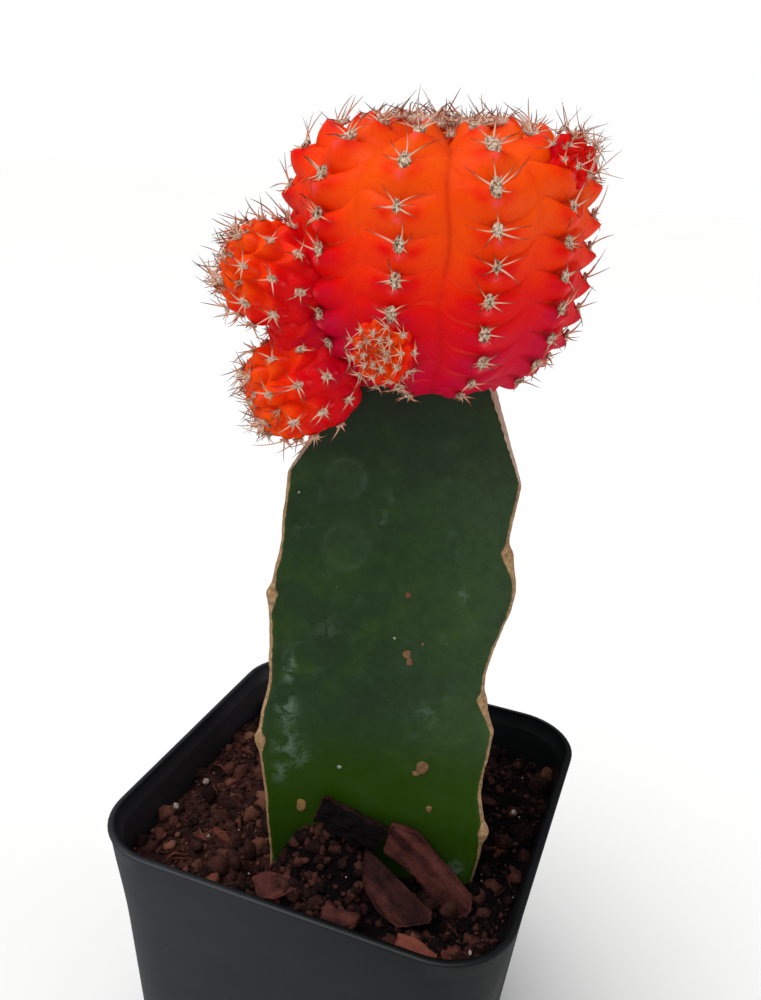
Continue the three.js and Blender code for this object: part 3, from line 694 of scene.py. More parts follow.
def greenSkin():
    finish, tree, shader = newFinish("greenSkin", Specular_IOR_Level=0.24)
    place = objectPlace(tree)
    height = axisOf(tree, place, 2)
    toRight = band(tree, axisOf(tree, place, 0), 0.004, 0.03)
    broad = cloud(tree, place, 16, 4, 0.6, 0.4)
    film = band(tree, cloud(tree, place, 7, 6, 0.7, 1.2), 0.54, 0.72)
    mottle = band(tree, cloud(tree, place, 2.2, 6, 0.75), 0.56, 0.42)
    fresh = band(tree, plus(tree, height, times(tree, broad, 0.02)), 0.11, 0.094)
    motes = useGroup(tree, specks, Vector=place, Spacing=0.8, Share=0.3, Dot=0.12)
    dots = useGroup(tree, specks, Vector=place, Spacing=3.1, Share=0.22, Dot=0.07)
    scuffed = valueOf(tree, "scuff")
    dried = plus(tree, cloud(tree, place, 2.2, 6, 0.72, 0.5), times(tree, scuffed, 0.12))
    crust = times(tree, band(tree, dried, 0.6, 0.74), 0.7)
    dried = times(tree, plus(tree, band(tree, dried, 0.5, 0.6), crust), scuffed)
    wavy = times(tree, cloud(tree, place, 1.3, 3), 0.5)
    horn = band(tree, plus(tree, valueOf(tree, "margin"), wavy), 1.0, 0.75)
    cut = band(tree, valueOf(tree, "cut"), -0.08, 0.04)
    grain = cloud(tree, place, 0.9, 5, 0.7)
    hornStops = [(0.3, (104, 80, 52)), (0.55, (164, 130, 92)), (0.75, (190, 162, 132))]
    corkStops = [(0.3, (150, 116, 92)), (0.6, (196, 168, 148)), (0.8, (214, 196, 180))]
    green = ramp(tree, broad, [(0.3, (29, 48, 27)), (0.5, (32, 58, 23)), (0.72, (44, 74, 15))])
    green = paint(tree, green, [
        (toRight, 0.3, (72, 96, 58)),
        (film, 0.16, (84, 112, 94)),
        (mottle, 0.24, (18, 36, 16)),
        (motes, 0.16, (112, 128, 96)),
        (fresh, 0.86, (40, 69, 0)),
        # painted shadow of the head on the top of the stem
        (band(tree, height, 0.135, 0.165), 0.6, (20, 28, 18)),
        (valueOf(tree, "mark"), 1, (128, 148, 138)),
        (dried, 0.36, (126, 146, 136)),
        (dots, 0.45, (120, 132, 104)),
        (horn, 1, ramp(tree, grain, hornStops)),
        (cut, 1, ramp(tree, cloud(tree, place, 1.1, 6, 0.75), corkStops)),
    ])
    woody = calc(tree, "MAXIMUM", horn, cut)
    rough = plus(tree, between(tree, film, 0.36, 0.62), times(tree, woody, 0.35), clamp=True)
    relief = times(tree, cloud(tree, place, 2.2, 4), 0.35)
    relief = bump(tree, plus(tree, times(tree, grain, woody), relief), 0.3, 0.5)
    feed(tree, shader, Base_Color=green, Roughness=rough, Normal=relief)
    return finish


# Pale marks on the front face: rings with a faint disc inside, and where scuffs may show.
def frontMarks(points, front):
    s = (points - stemSize["faceMiddle"]) @ alongFace
    h = points[..., 2] - mixLevel
    mark, scuff = np.zeros(s.shape), np.zeros(s.shape)
    for middle, height, radius, width in stemSize["rings"]:
        away = np.hypot(s - middle, (h - height) * 0.92) - radius
        broken = 0.06 * bell(away, width * 0.7) * (0.6 + 0.5 * noise(points, 2.5, 33, 2))
        mark = np.maximum(mark, broken + 0.02 * (away < 0))
    for middle, height, wide, tall, strength in stemSize["scuffs"]:
        spot = bell(np.hypot((s - middle) / wide, (h - height) / tall), 1.1)
        scuff = np.maximum(scuff, strength * spot)
    return mark * front, scuff * front


# The stem: level loops of three rounded margins joined by hollowed faces, lofted upwards.
# Each wing is sliced off along its cut by moving what stands past the cut back onto it.
def makeRootstock():
    buried, middle = np.linspace(stemSize["bottom"], 56, 9), np.arange(57, 140.6, 0.5)
    z = np.concatenate([buried, middle, np.arange(140.7, 161.6, 0.28)])
    radius = stemSize["marginRadius"]
    even = np.linspace(0, 1, stemSize["faceSteps"])[1:-1]
    faceSteps = mix(0.5 - 0.5 * np.cos(np.pi * even), even, 0.55)
    reach, above, below = stemSize["knobSize"]
    loops, fromMargin, front = [], [], []
    for side in range(3):
        here, there = marginCorner(side, z), marginCorner((side + 1) % 3, z)
        up = [z - mixLevel - height for height in stemSize["knobs"][side]]
        knob = sum(bell(v, np.where(v > 0, above, below)) for v in up)
        for turn in np.linspace(-75, 75, stemSize["beadSteps"]):
            bead = radius + (0.12 + reach * knob[:, None]) * np.cos(np.radians(turn)) ** 2
            loops.append(here + facing(stemSize["marginFacing"][side] + turn) * bead)
            fromMargin.append(radius * np.radians(abs(turn)) - 0.7 * knob)
            front.append(0 * z)
        out = facing(stemSize["faceFacing"][side])
        share = wingShare(z, side)
        sag = stemSize["sideSag" if side else "frontSag"] * np.where(share > 0.8, 1, share**2)
        span = np.linalg.norm(there - here, axis=-1)
        for t in faceSteps:
            depth = radius * 0.97 - sag * 4 * t * (1 - t)
            loops.append(mix(here, there, t) + out * depth[:, None])
            fromMargin.append(radius * 1.3 + span * min(t, 1 - t))
            front.append(0 * z + (side == 0))
    loops, fromMargin, front = (np.stack(v, axis=1) for v in (loops, fromMargin, front))
    out = unit((loops - stemMiddle) * [1, 1, 0])
    loops += out * (0.22 * noise(loops, 13, 3, 2) + 0.05 * noise(loops, 2.4, 4, 2))[..., None]
    ragged = bell(fromMargin, 1.4) * (loops[..., 2] > mixLevel)
    loops += out * (ragged * 0.22 * noise(loops, 3.5, 5, 3))[..., None]
    cut = np.full(front.shape, -9.0)
    sizes = (stemSize[key] for key in ("cutFacing", "cutReach", "cutSlopes", "shoulders"))
    for degrees, reach, slope, shoulder in zip(*sizes):
        way, height = facing(degrees), loops[..., 2]
        limit = reach - slope * (height - shoulder) + 0.1 * noise(loops * [1, 1, 0.6], 2.5, 8, 2)
        over = np.where(height > shoulder - 3, (loops - stemMiddle) @ way - limit, -9)
        loops -= way * np.maximum(over, 0)[..., None]
        cut = np.maximum(cut, over)
    points, faces = loft(loops, [*stemMiddle[:2], z[0]], [*stemMiddle[:2], z[-1]])
    mark, scuff = frontMarks(loops, front)
    values = {"margin": fromMargin, "cut": cut, "mark": mark, "scuff": scuff}
    values = {key: np.append(value.ravel(), [0, 0]) for key, value in values.items()}
    makePiece("grafted_stem", points, faces, greenSkin(), ["rootstock"], values)
    makeScars(loops[front > 0])


# Scars and specks: flat crusts with wandering edges, set into the nearest place of the face.
# Each is a stack of rings, given by their share of its size and how far they stand out.
def makeScars(face):
    s, h = (face - stemSize["faceMiddle"]) @ alongFace, face[:, 2] - mixLevel
    angle = np.arange(20) * np.pi / 10
    circle = np.stack([np.cos(angle), np.sin(angle), 0 * angle], -1)
    rings = np.array([(0.3, 0.18), (0.6, 0.24), (0.9, 0.16), (1, 0.0), (1, -0.5)])[..., None, None]
    shapes, tones = [], []
    for number, (along, height, wide, tall, tone) in enumerate(stemSize["scars"]):
        near = face[np.argmin((s - along) ** 2 + (h - height) ** 2)]
        depth = (near - stemSize["faceMiddle"]) @ intoFace
        middle = stemSize["faceMiddle"] + alongFace * along + intoFace * depth
        middle = middle + [0, 0, mixLevel + height]
        edge = 1 + 0.3 * noise(circle + [0, 0, number * 5], 1.1, 9, 2)
        outline = (edge * circle[:, 0] * wide / 2)[:, None] * alongFace
        outline = outline + (edge * circle[:, 1] * tall / 2)[:, None] * [0, 0, 1]
        loops = middle + rings[:, 0] * outline - rings[:, 1] * intoFace
        loops += 0.06 * noise(loops, 0.5, 10, 2)[..., None]
        shapes.append(loft(loops, middle - intoFace * 0.18, middle + intoFace * 0.5))
        tones.append(np.full(len(shapes[-1][0]), tone))
    points, faces = gather(shapes)
    finish, tree, shader = newFinish("scarCrust", Roughness=0.85, Specular_IOR_Level=0.15)
    grain = around(tree, cloud(tree, objectPlace(tree), 0.7, 4, 0.7), 0.8)
    stops = [(0.1, (100, 62, 42)), (0.4, (112, 82, 62)), (0.6, (138, 108, 58)), (0.9, (136, 148, 138))]
    feed(tree, shader, Base_Color=ramp(tree, plus(tree, valueOf(tree, "tone"), grain), stops))
    values = {"tone": np.concatenate(tones)}
    makePiece("stem_scars", points, faces, finish, values=values)


makeRootstock()
print("stem ready")

# Heads, with the same sizes as the solids.
headMake = {
    "name": "scion_head",
    "base": (9.2, -5.9, 158.4),
    "lean": (0, -0.085, 1),
    "zeroRib": -53.7,
    "ribs": 11,
    "radius": 23.9,
    "above": 16.1,
    "below": 25.6,
    "powerAbove": 3.3,
    "powerBelow": 2.9,
    "pitch": 4.75,
    "stretch": 5.4,
    "areoles": 13,
    "phaseFrom": 5,  # two ribs with the same phase meet: this puts them at the back
    "groove": 3.4,
    "lowGroove": 0.24,  # share of the groove that is left lower down
    "tubercle": 2.3,
    "lowTubercle": 0.75,
    "lead": 0.1,  # how far the notch stands above its areole, in steps
    "chevron": 0.42,  # how far it rises towards the grooves, in steps
    "nose": 1.15,  # how far each tubercle's tip stands out
    "calm": 0.62,  # how much shallower the notches are on the side at calmSide
    "calmSide": -70,
    "lump": 0,  # how far each tubercle stands out as a knob of its own
    "crownDip": 2.4,
    "redder": 0,  # added to the blush all over
    "spineLength": 5.0,
    "spineRadius": 0.14,
    "padRadius": 0.76,
    "crowd": 15,  # young areoles on the crown
    "seed": 1,
    "columns": 24,  # mesh steps for each rib
    "rows": 20,  # and for each areole
    "stands": True,  # in a solid's place
}
offsetMake = headMake | {
    "ribs": 10,
    "powerAbove": 2.3,
    "powerBelow": 2.1,
    "stretch": 0,
    "groove": 0.3,
    "lowGroove": 1,
    "tubercle": 0,
    "lowTubercle": 0.6,
    "lead": 0,
    "nose": 0,
    "calm": 0,
    "lump": 1.55,
    "crownDip": 0.4,
    "phaseFrom": 0,
    "spineRadius": 0.125,
    "padRadius": 0.54,
    "crowd": 18,
    "columns": 16,
    "rows": 16,
}
offsets = [
    {
        "name": "offset_upper_left", "base": (-2.9, -20.5, 172.1), "lean": (-0.86, -0.42, 0.36),
        "zeroRib": 10,
        "radius": 8.0, "above": 7.9, "below": 10.4, "powerBelow": 2.6, "pitch": 4.4, "areoles": 5,
        "spineLength": 4.2, "seed": 2,
    },
    {
        "name": "offset_lower_left", "base": (1, -18.3, 162.3), "lean": (-0.78, -0.5, -0.34),
        "zeroRib": 30,
        "radius": 8.4, "above": 8.2, "below": 10.4, "powerBelow": 2.6, "pitch": 4.5, "areoles": 5,
        "spineLength": 4.2, "seed": 3,
    },
    {
        "name": "offset_front", "base": (9.3, -26, 167.2), "lean": (-0.1, -1, 0.08), "zeroRib": 0,
        "ribs": 11,
        "radius": 5.0, "above": 2.8, "below": 3.2, "pitch": 1.9, "areoles": 5, "groove": 0.2,
        "lump": 0.8,
        "spineLength": 3.1, "spineRadius": 0.085, "padRadius": 0.36, "crowd": 4, "columns": 12,
        "rows": 12, "seed": 4,
    },
    {
        "name": "offset_upper_right", "base": (27.2, -12.2, 193.1), "lean": (0.62, -0.6, 0.42),
        "zeroRib": 20,
        "ribs": 8, "radius": 4.1, "above": 3.4, "below": 3.2, "pitch": 2.3, "areoles": 4,
        "groove": 0.2,
        "lump": 1.0, "spineLength": 3.9, "spineRadius": 0.1, "padRadius": 0.34, "crowd": 8,
        "columns": 12,
        "rows": 12, "redder": 0.5, "seed": 5,
    },
    {  # a young swelling that fills the corner between the two left offsets
        "name": "joining_swelling", "base": (-1, -16.4, 167.2), "lean": (-0.8, -0.6, 0.02),
        "zeroRib": 8, "ribs": 8,
        "radius": 7.2, "above": 6.2, "below": 7.5, "pitch": 3.8, "areoles": 4, "lump": 0.6,
        "spineLength": 2.0,
        "spineRadius": 0.09, "padRadius": 0.42, "crowd": 2, "redder": 0.55, "seed": 6,
        "stands": False,
    },
]


# The shortest turn that takes +Z to a direction.
def turnTo(direction):
    up = unit(np.asarray(direction, float))
    x, y = -up[1], up[0]
    cross = np.array([[0, 0, y], [0, 0, -x], [-y, x, 0]])
    return np.eye(3) + cross + cross @ cross / (1 + up[2])


# Adds a head's meridian: a superellipse in two halves, by its length from the top.
def prepare(spec):
    angle = np.pi * (0.5 - np.arange(401) / 400)
    up = angle > 0
    power = 2 / np.where(up, spec["powerAbove"], spec["powerBelow"])
    reach = np.where(up, spec["above"], spec["below"])
    r = spec["radius"] * np.abs(np.cos(angle)) ** power
    z = spec["below"] + np.sign(angle) * reach * np.abs(np.sin(angle)) ** power
    r[[0, -1]] = 0
    length = np.concatenate([[0], np.cumsum(np.hypot(np.diff(r), np.diff(z)))])
    i = np.arange(401)
    before, after = np.maximum(i - 4, 0), np.minimum(i + 4, 400)
    slope = np.hypot(r[after] - r[before], z[after] - z[before])
    normalR, normalZ = (z[before] - z[after]) / slope, (r[after] - r[before]) / slope
    return spec | {
        "meridian": (length, r, z, normalR, normalZ), "total": length[-1],
        "turnMatrix": turnTo(spec["lean"]), "base": np.array(spec["base"], float),
    }


def areoleLength(spec, k):
    return spec["pitch"] * k + spec["stretch"] * smooth(1.5, 5.5, k)


# Neighbouring ribs carry their areoles half a step apart.
def phaseOf(spec, u, k):
    rib = np.floor(u)
    here, there = (0.5 * (np.mod(rib + spec["phaseFrom"] + i, spec["ribs"]) % 2) for i in (0, 1))
    mixed = mix(here, there, smooth(0.3, 0.7, u - rib))
    return mixed * smooth(0, 1.5, k) * (1 - smooth(spec["areoles"] - 1, spec["areoles"] + 0.5, k))


# Directions given round and up the axis, turned to stand as the head does.
def standing(spec, r, z, azimuth):
    return np.stack([r * np.cos(azimuth), r * np.sin(azimuth), z], -1) @ spec["turnMatrix"].T


# The skin: u counts ribs round the axis, k counts areoles down from the top. The globe is
# pressed in by grooves between the ribs and by a notch above each areole, which rises to the
# grooves like a chevron: below it the flesh juts out fast and then falls back to the next.
# Offsets are knobs instead, each with its areole near its tip. The crown dips.
def skin(spec, u, k):
    pitch, count, isKnobbly = spec["pitch"], spec["areoles"], spec["lump"] > 0
    across = np.abs(2 * (u - np.round(u)))
    middle = smooth(0.8, 2.2, k) * (1 - smooth(count - 2, count, k))
    rise = spec["chevron"] * middle * across**1.3
    length = areoleLength(spec, np.maximum(k + phaseOf(spec, u, k) - rise, 0))
    table, *columns = spec["meridian"]
    r, z, normalR, normalZ = (np.interp(length, table, column) for column in columns)
    azimuth = np.radians(spec["zeroRib"] + 360 / spec["ribs"] * u)
    azimuth = azimuth + 0.018 * np.sin(1.9 * k + 4 * np.sin(azimuth)) * middle
    aside = np.mod(azimuth - np.radians(spec["calmSide"]) + np.pi, 2 * np.pi) - np.pi
    reach = mix(0.75, 1.25, smooth(4, 7, k) * (aside < 0))
    calm = spec["calm"] * bell(aside / reach, 1) * smooth(1.5, 3, k)
    fromTop = smooth(0, 3 * pitch, length)

    # grooves
    share = mix(0.1, 1, smooth(0, 5 * pitch, spec["total"] - length))
    share = share * mix(1, spec["lowGroove"], smooth(2, 5, k)) * smooth(0, 2 * pitch, length)
    depth = spec["groove"] * share * (0.94 * across**1.4 + 0.06 * across**7)

    # notches and the noses under them
    tooth = np.mod(k + spec["lead"], 1)
    slopes = np.minimum(tooth / 0.35, (1 - tooth) / 0.65) ** mix(0.85, 0.4, across)
    juts = mix(np.sin(np.pi * tooth**0.66) ** mix(0.8, 0.3, across), slopes, 0.6)
    juts = mix(juts, np.sin(np.pi * tooth**0.8) ** 1.1, calm)
    notch = spec["tubercle"] * (0.35 + 0.65 * fromTop) * (1 - calm)
    notch = notch * mix(1, spec["lowTubercle"], smooth(count * 0.35, count * 0.7, k))
    depth = depth + notch * (1 - juts) * (1 - across**1.6) * (1 - smooth(count - 1.2, count, k))
    nose = spec["nose"] * (1 - calm) * juts * bell(across, 0.36) * smooth(1, 3, k)
    depth = depth + 0.3 * (spec["nose"] > 0) - nose

    # knobs and the dip of the crown
    fromTip = np.abs(np.mod(k + 0.38, 1) - 0.5) * 2
    knob = np.minimum(fromTip**1.9 + across**1.9, 1.35)
    toBase = 1 - 0.75 * smooth(count - 3, count - 0.5, k)
    depth = depth + spec["lump"] * (0.45 + 0.55 * fromTop) * toBase * knob
    depth = depth + spec["crownDip"] * (1 - smooth(0, 2 * pitch, length))
    place = standing(spec, np.maximum(r - normalR * depth, 0), z - normalZ * depth, azimuth)
    # painted shade along each notch
    notchShade = 0.35 * bell(np.minimum(tooth, 1 - tooth), 0.07) * (1 - across**2)
    line = (0.5 * across**9 + 0.6 * across**40) * fromTop
    values = {
        # painted highlight just above each notch, on the lip of the tubercle
        "creaseHighlight": bell(np.mod(tooth + 0.07, 1) - 0.03, 0.045) * (1 - across**3) * middle,
        # painted shade in the grooves, strongest on the calm side
        "grooveShade": line * mix(0.25, 1, bell(aside, 0.35)),
        # painted shade in the hollows between knobs, or along the notches
        "hollowShade": (knob / 1.35) ** 2 if isKnobbly else notchShade,
        "chin": bell(tooth - 0.43, 0.09) * bell(across, 0.08) * (k < count - 0.5),
        # painted shade beside and below each areole, given as more blush
        "areoleShade": bell(tooth - 0.34, 0.2) * bell(across - 0.3, 0.22) * middle,
        "down": k / count + 0 * across,
    }
    return place + spec["base"], values


# Whether points lie in a head's smooth globe, grown by a margin.
def insideHead(spec, points, margin):
    local = (points - spec["base"]) @ spec["turnMatrix"]
    z = local[..., 2] - spec["below"]
    reach = np.where(z > 0, spec["above"], spec["below"]) + margin
    power = np.where(z > 0, spec["powerAbove"], spec["powerBelow"])
    r = np.hypot(local[..., 0], local[..., 1]) / (spec["radius"] + margin)
    return r**power + np.abs(z / reach) ** power < 1


def insideStem(points, margin):
    inside = points[..., 2] < stemSize["top"] + margin
    for degrees in stemSize["faceFacing"]:
        inside &= (points - stemMiddle) @ facing(degrees) < stemSize["depth"] / 3 + margin
    return inside


# The flesh's colour runs from orange through red to crimson as the blush rises.
def flesh(name, stops):
    finish, tree, shader = newFinish(
        name, Specular_IOR_Level=0.07, Subsurface_Weight=0.2,
        Subsurface_Radius=(1.0, 0.4, 0.12), Subsurface_Scale=0.002,
    )
    place = objectPlace(tree)
    blush = plus(tree, valueOf(tree, "blush"), around(tree, cloud(tree, place, 6, 4, 0.55, 0.5), 0.35))
    # painted shade beside and below each areole, added to the blush
    blush = plus(tree, blush, times(tree, valueOf(tree, "areoleShade"), 0.26))
    veil = band(tree, cloud(tree, place, 1.4, 5, 0.7), 0.58, 0.78)
    dim = band(tree, cloud(tree, place, 0.8, 4, 0.7), 0.5, 0.3)
    pores = useGroup(tree, specks, Vector=place, Spacing=0.6, Share=0.5, Dot=0.2)
    shade = paint(tree, ramp(tree, blush, stops), [
        # painted shade in the grooves
        (valueOf(tree, "grooveShade"), 0.42, (184, 8, 4)),
        # painted shade in the hollows and along the notches
        (valueOf(tree, "hollowShade"), 0.4, (228, 14, 16)),
        # painted highlight along the creases
        (valueOf(tree, "creaseHighlight"), 0.42, (242, 84, 40)),
        (valueOf(tree, "chin"), 0.85, (236, 74, 82)),
        (veil, 0.14, (246, 90, 0)),
        (dim, 0.22, (206, 8, 0)),
        (pores, 0.12, (250, 116, 0)),
    ])
    rough = between(tree, cloud(tree, place, 2, 4), 0.34, 0.5)
    relief = plus(tree, cloud(tree, place, 1.2, 5, 0.6), times(tree, pores, 0.3))
    feed(tree, shader, Base_Color=shade, Roughness=rough, Normal=bump(tree, relief, 0.22, 0.6))
    return finish


# Spine colours run from a pinkish straw root through brown to a near-black tip.
def spineFinish():
    finish, tree, shader = newFinish("spines", Roughness=0.5, Specular_IOR_Level=0.35)
    along = plus(tree, valueOf(tree, "along"), times(tree, valueOf(tree, "dark"), 0.5))
    stops = [
        (0.0, (240, 208, 182)), (0.42, (224, 168, 134)), (0.66, (150, 92, 66)), (0.88, (56, 32, 26)),
    ]
    streak = cloud(tree, objectPlace(tree), 0.4, 2)
    shade = paint(tree, ramp(tree, along, stops), [(streak, 0.15, (108, 66, 46))])
    feed(tree, shader, Base_Color=shade)
    return finish


def woolFinish():
    finish, tree, shader = newFinish("wool", Roughness=0.95, Specular_IOR_Level=0.1)
    place = objectPlace(tree)
    young = valueOf(tree, "young")
    tuft = cloud(tree, place, 0.45, 3, 0.7)
    stops = [
        (0.36, (64, 46, 36)), (0.45, (140, 112, 88)), (0.54, (204, 180, 156)), (0.66, (240, 226, 210)),
    ]
    pink = times(tree, young, band(tree, cloud(tree, place, 0.8, 3), 0.45, 0.65))
    coats = [(young, 0.35, (222, 190, 168)), (pink, 0.6, (226, 140, 128))]
    shade = paint(tree, ramp(tree, tuft, stops), coats)
    feed(tree, shader, Base_Color=shade, Normal=bump(tree, tuft, 0.25, 0.9))
    return finish


# A wool pad: a low dome, square in its profile near the foot, closed underneath.
def makeDome(columns=10):
    profile = [(0.82, -0.35), (1.0, 0.0), (0.94, 0.38), (0.66, 0.72)]
    angle = np.arange(columns) * 2 * np.pi / columns
    loops = [[(r * np.cos(a), r * np.sin(a), z) for a in angle] for r, z in profile]
    return loft(np.array(loops), [0, 0, -0.35], [0, 0, 0.88])


dome = makeDome()
spineFan = {
    "angles": [14, 62, 118, 166, 212, 328, 270],  # round the areole, degrees
    "tilts": [64, 56, 56, 64, 62, 62, 48],  # from straight out
    "lengths": [0.92, 1.0, 1.0, 0.92, 0.8, 0.8, 0.42],
    "radii": [1.1, 1.0, 0.85, 0.66, 0.44, 0.16],  # from root to tip
    "stray": (22, 9),  # degrees either way, in angle and in tilt
    "youngTilts": (8, 62),
    "missing": (0.16, 0.35),  # share left out, on old and on young areoles
    "hairs": 14,  # of wool, at each areole
    "hairRadii": [0.055, 0.05, 0.02],
}


# The frames of areoles: where they stand and which way is sideways, up the rib and out. They
# face out more squarely than the notched skin under them.
def areoleFrames(spec, rib, k):
    root = skin(spec, rib, k)[0]
    beside = unit(skin(spec, rib + 0.2, k)[0] - skin(spec, rib - 0.2, k)[0])
    upward = unit(skin(spec, rib, k - 0.4)[0] - skin(spec, rib, k + 0.4)[0])
    table, _, _, *columns = spec["meridian"]
    length = areoleLength(spec, k + phaseOf(spec, rib, k))
    normalR, normalZ = (np.interp(length, table, column) for column in columns)
    azimuth = np.radians(spec["zeroRib"] + 360 / spec["ribs"] * rib)
    outward = unit(np.cross(beside, upward) * 0.35 + standing(spec, normalR, normalZ, azimuth))
    beside = unit(beside - outward * (beside * outward).sum(-1, keepdims=True))
    return root, beside, np.cross(outward, beside), outward


# The areoles of one head, clear of the other heads and the stem: those along its ribs, and a
# crowd of young ones on the crown, each turned on by the golden angle from the one before.
def areolesOf(spec, others):
    rib, k = (v.ravel() for v in np.mgrid[0 : spec["ribs"], 1 : spec["areoles"]].astype(float))
    count = spec["crowd"]
    turn = np.arange(count) * 2.39996
    young = np.append(np.zeros(len(rib)), np.ones(count))
    rib = np.append(rib, (turn / (2 * np.pi) * spec["ribs"]) % spec["ribs"])
    k = np.append(k, 0.15 + 1.5 * ((np.arange(count) + 0.5) / count) ** 0.5)
    frames = areoleFrames(spec, rib, k)
    clear = ~insideStem(frames[0], 0.5)
    for other in others:
        clear &= ~insideHead(other, frames[0], 0.3)
    rib, k, young, root, *ways = (v[clear] for v in (rib, k, young, *frames))
    swollen = mix(1, 1.6, (1 - smooth(1.2, 5, k)) * (spec["seed"] == 1))
    size = spec["padRadius"] * swollen * mix(1, 0.6, young)
    size = (size * mix(0.85, 1.15, chance(rib, k, 5)))[:, None]
    return k, young, size, root + ways[2] * size * 0.35, *ways


# A pad of wool on each areole, and short hairs round it.
def makeWool(spec, k, young, size, root, beside, upward, outward):
    axes = np.stack([beside * size, upward * size * 1.55, outward * size * 0.75], axis=1)
    pads, padFaces = stamp(dome, root + outward * size * 0.1, axes)
    away = unit(pads - np.repeat(root, len(dome[0]), axis=0))
    pads += away * (0.24 * noise(pads, 0.5, 40))[:, None] * spec["padRadius"]
    padYoung = np.repeat(np.maximum(young, 1 - smooth(1.5, 4, k)), len(dome[0]))
    padYoung = np.maximum(padYoung, 0.7 * (spec["seed"] > 1))

    which = np.repeat(np.arange(len(k)), spineFan["hairs"])
    angle = rng.uniform(0, 2 * np.pi, len(which))[:, None]
    lift = rng.uniform(0.3, 1.0, len(which))[:, None]
    way = np.cos(angle) * beside[which] + 1.4 * np.sin(angle) * upward[which] + lift * outward[which]
    start = root[which] + way * size[which] * 0.6
    stray = unit(way + rng.normal(0, 0.6, way.shape))
    end = start + stray * size[which] * rng.uniform(0.5, 1.15, (len(which), 1))
    paths = mix(start[:, None], end[:, None], np.linspace(0, 1, 3)[None, :, None])
    radii = np.tile(spineFan["hairRadii"], (len(which), 1))
    hairs, hairFaces, share = stalks(paths, radii, 3)
    points, faces = gather([(pads, padFaces), (hairs, hairFaces)])
    values = {"young": np.append(padYoung, 0.7 + 0 * share)}
    makePiece(spec["name"] + "_wool", points, faces, wool, values=values)


# A fan of spines on each areole. Each is a stalk along a curve: straight out at first, then
# bent sideways with the square of its length.
def makeSpines(spec, others, *areoles):
    fan = len(spineFan["angles"])
    which = np.repeat(np.arange(len(areoles[0])), fan)
    k, young, size, root, beside, upward, outward = (v[which] for v in areoles)
    tiled = (np.tile(spineFan[key], len(areoles[0])) for key in ("angles", "tilts", "lengths"))
    angles, tilts, lengths = tiled
    count, (wander, sway) = len(k), spineFan["stray"]
    angle = np.radians(angles + rng.uniform(-wander, wander, count))[:, None]
    tilt = np.radians(tilts + rng.uniform(-sway, sway, count))
    tilt = np.where(young > 0, np.radians(rng.uniform(*spineFan["youngTilts"], count)), tilt)[:, None]
    length = spec["spineLength"] * lengths * rng.uniform(0.55, 1.2, count)
    length *= (1 - 0.45 * smooth(2, spec["areoles"], k)) * mix(1, 0.5, young)
    length *= mix(0.8, 1, smooth(1, 3, k))
    across = beside * np.cos(angle) + upward * np.sin(angle)
    way = outward * np.cos(tilt) + across * np.sin(tilt)
    start = root + across * size * 0.4 + outward * size * 0.35
    curl = rng.uniform(0.1, 0.5, count) + (0.2 + 0.4 * (spec["seed"] > 1)) * young
    bend = unit(np.cross(way, rng.normal(size=way.shape))) * curl[:, None] + upward * 0.1
    t = np.linspace(0, 1, 6)[None, :, None]
    t = np.where(t == 0, -0.08, t)
    paths = start[:, None] + (way[:, None] * t + bend[:, None] * t * np.abs(t)) * length[:, None, None]
    keep = (rng.random(count) > mix(*spineFan["missing"], young)) & ~insideStem(paths[:, -1], 0)
    for other in others:
        keep &= ~insideHead(other, paths[:, -1], 0) & ~insideHead(other, paths[:, 3], 0)
    paths, young = paths[keep], young[keep]
    radii = spec["spineRadius"] * np.array(spineFan["radii"])
    points, faces, along = stalks(paths, radii * rng.uniform(0.75, 1.15, (len(paths), 1)), 4)
    dark = rng.uniform(-0.3, 0.3, len(paths)) + 0.25 * young
    values = {"along": along, "dark": np.repeat(dark, len(points) // len(paths))}
    makePiece(spec["name"] + "_spines", points, faces, spineShade, values=values)


# How far the flesh has turned from orange to crimson, from 0 to 1.
def blushOf(spec, points, down):
    wander = 0.07 * noise(points, 9, 21, 3)
    if spec["seed"] == 1:
        left = bell(np.linalg.norm((points - [-3, -19, 172]) / [1, 1, 1.5], axis=-1), 13)
        right = bell(np.linalg.norm((points - [31, -14, 170]) / [1, 1, 1.3], axis=-1), 14)
        low = smooth(190, 157, points[..., 2])
        side = 0.14 * smooth(12, -14, points[..., 0])
        return np.clip(0.04 + 0.9 * low + 0.3 * left + 0.22 * right + side + wander, 0, 1)
    base = smooth(0.32, 0.9, down)
    return np.clip(0.04 + 0.8 * base + spec["redder"] + wander, 0, 1)


def makeHead(spec, others):
    columns = spec["ribs"] * spec["columns"]
    lastK = (spec["total"] - spec["stretch"]) / spec["pitch"]
    k = np.arange(int((lastK - 0.15) * spec["rows"]), 1, -1) / spec["rows"]
    u = np.arange(columns) / spec["columns"]
    k, u = np.meshgrid(k, u, indexing="ij")
    loops, values = skin(spec, u, k)
    first, last = (skin(spec, np.array(0.0), np.array(end))[0] for end in (lastK + 1, 0.0))
    out = unit(loops - (spec["base"] + spec["turnMatrix"] @ [0, 0, spec["below"]]))
    loops += out * (0.1 * noise(loops, 4.5, 50 + spec["seed"], 3))[..., None] * spec["pitch"] / 5.3
    points, faces = loft(loops, first, last)
    values["blush"] = blushOf(spec, loops, values["down"])
    values["creaseHighlight"] = values["creaseHighlight"] * smooth(-0.5, 0.5, noise(loops, 5, 23, 2))
    values["grooveShade"] = values["grooveShade"] * smooth(-0.9, 0.5, noise(loops, 7, 24, 2))
    values = {key: np.append(value.ravel(), value.ravel()[[0, -1]]) for key, value in values.items()}
    finish = redFlesh if spec["seed"] == 1 else youngFlesh
    stands = [spec["name"]] * spec["stands"]
    makePiece(spec["name"] + "_flesh", points, faces, finish, stands, values)
    areoles = areolesOf(spec, others)
    makeWool(spec, *areoles)
    makeSpines(spec, others, *areoles)


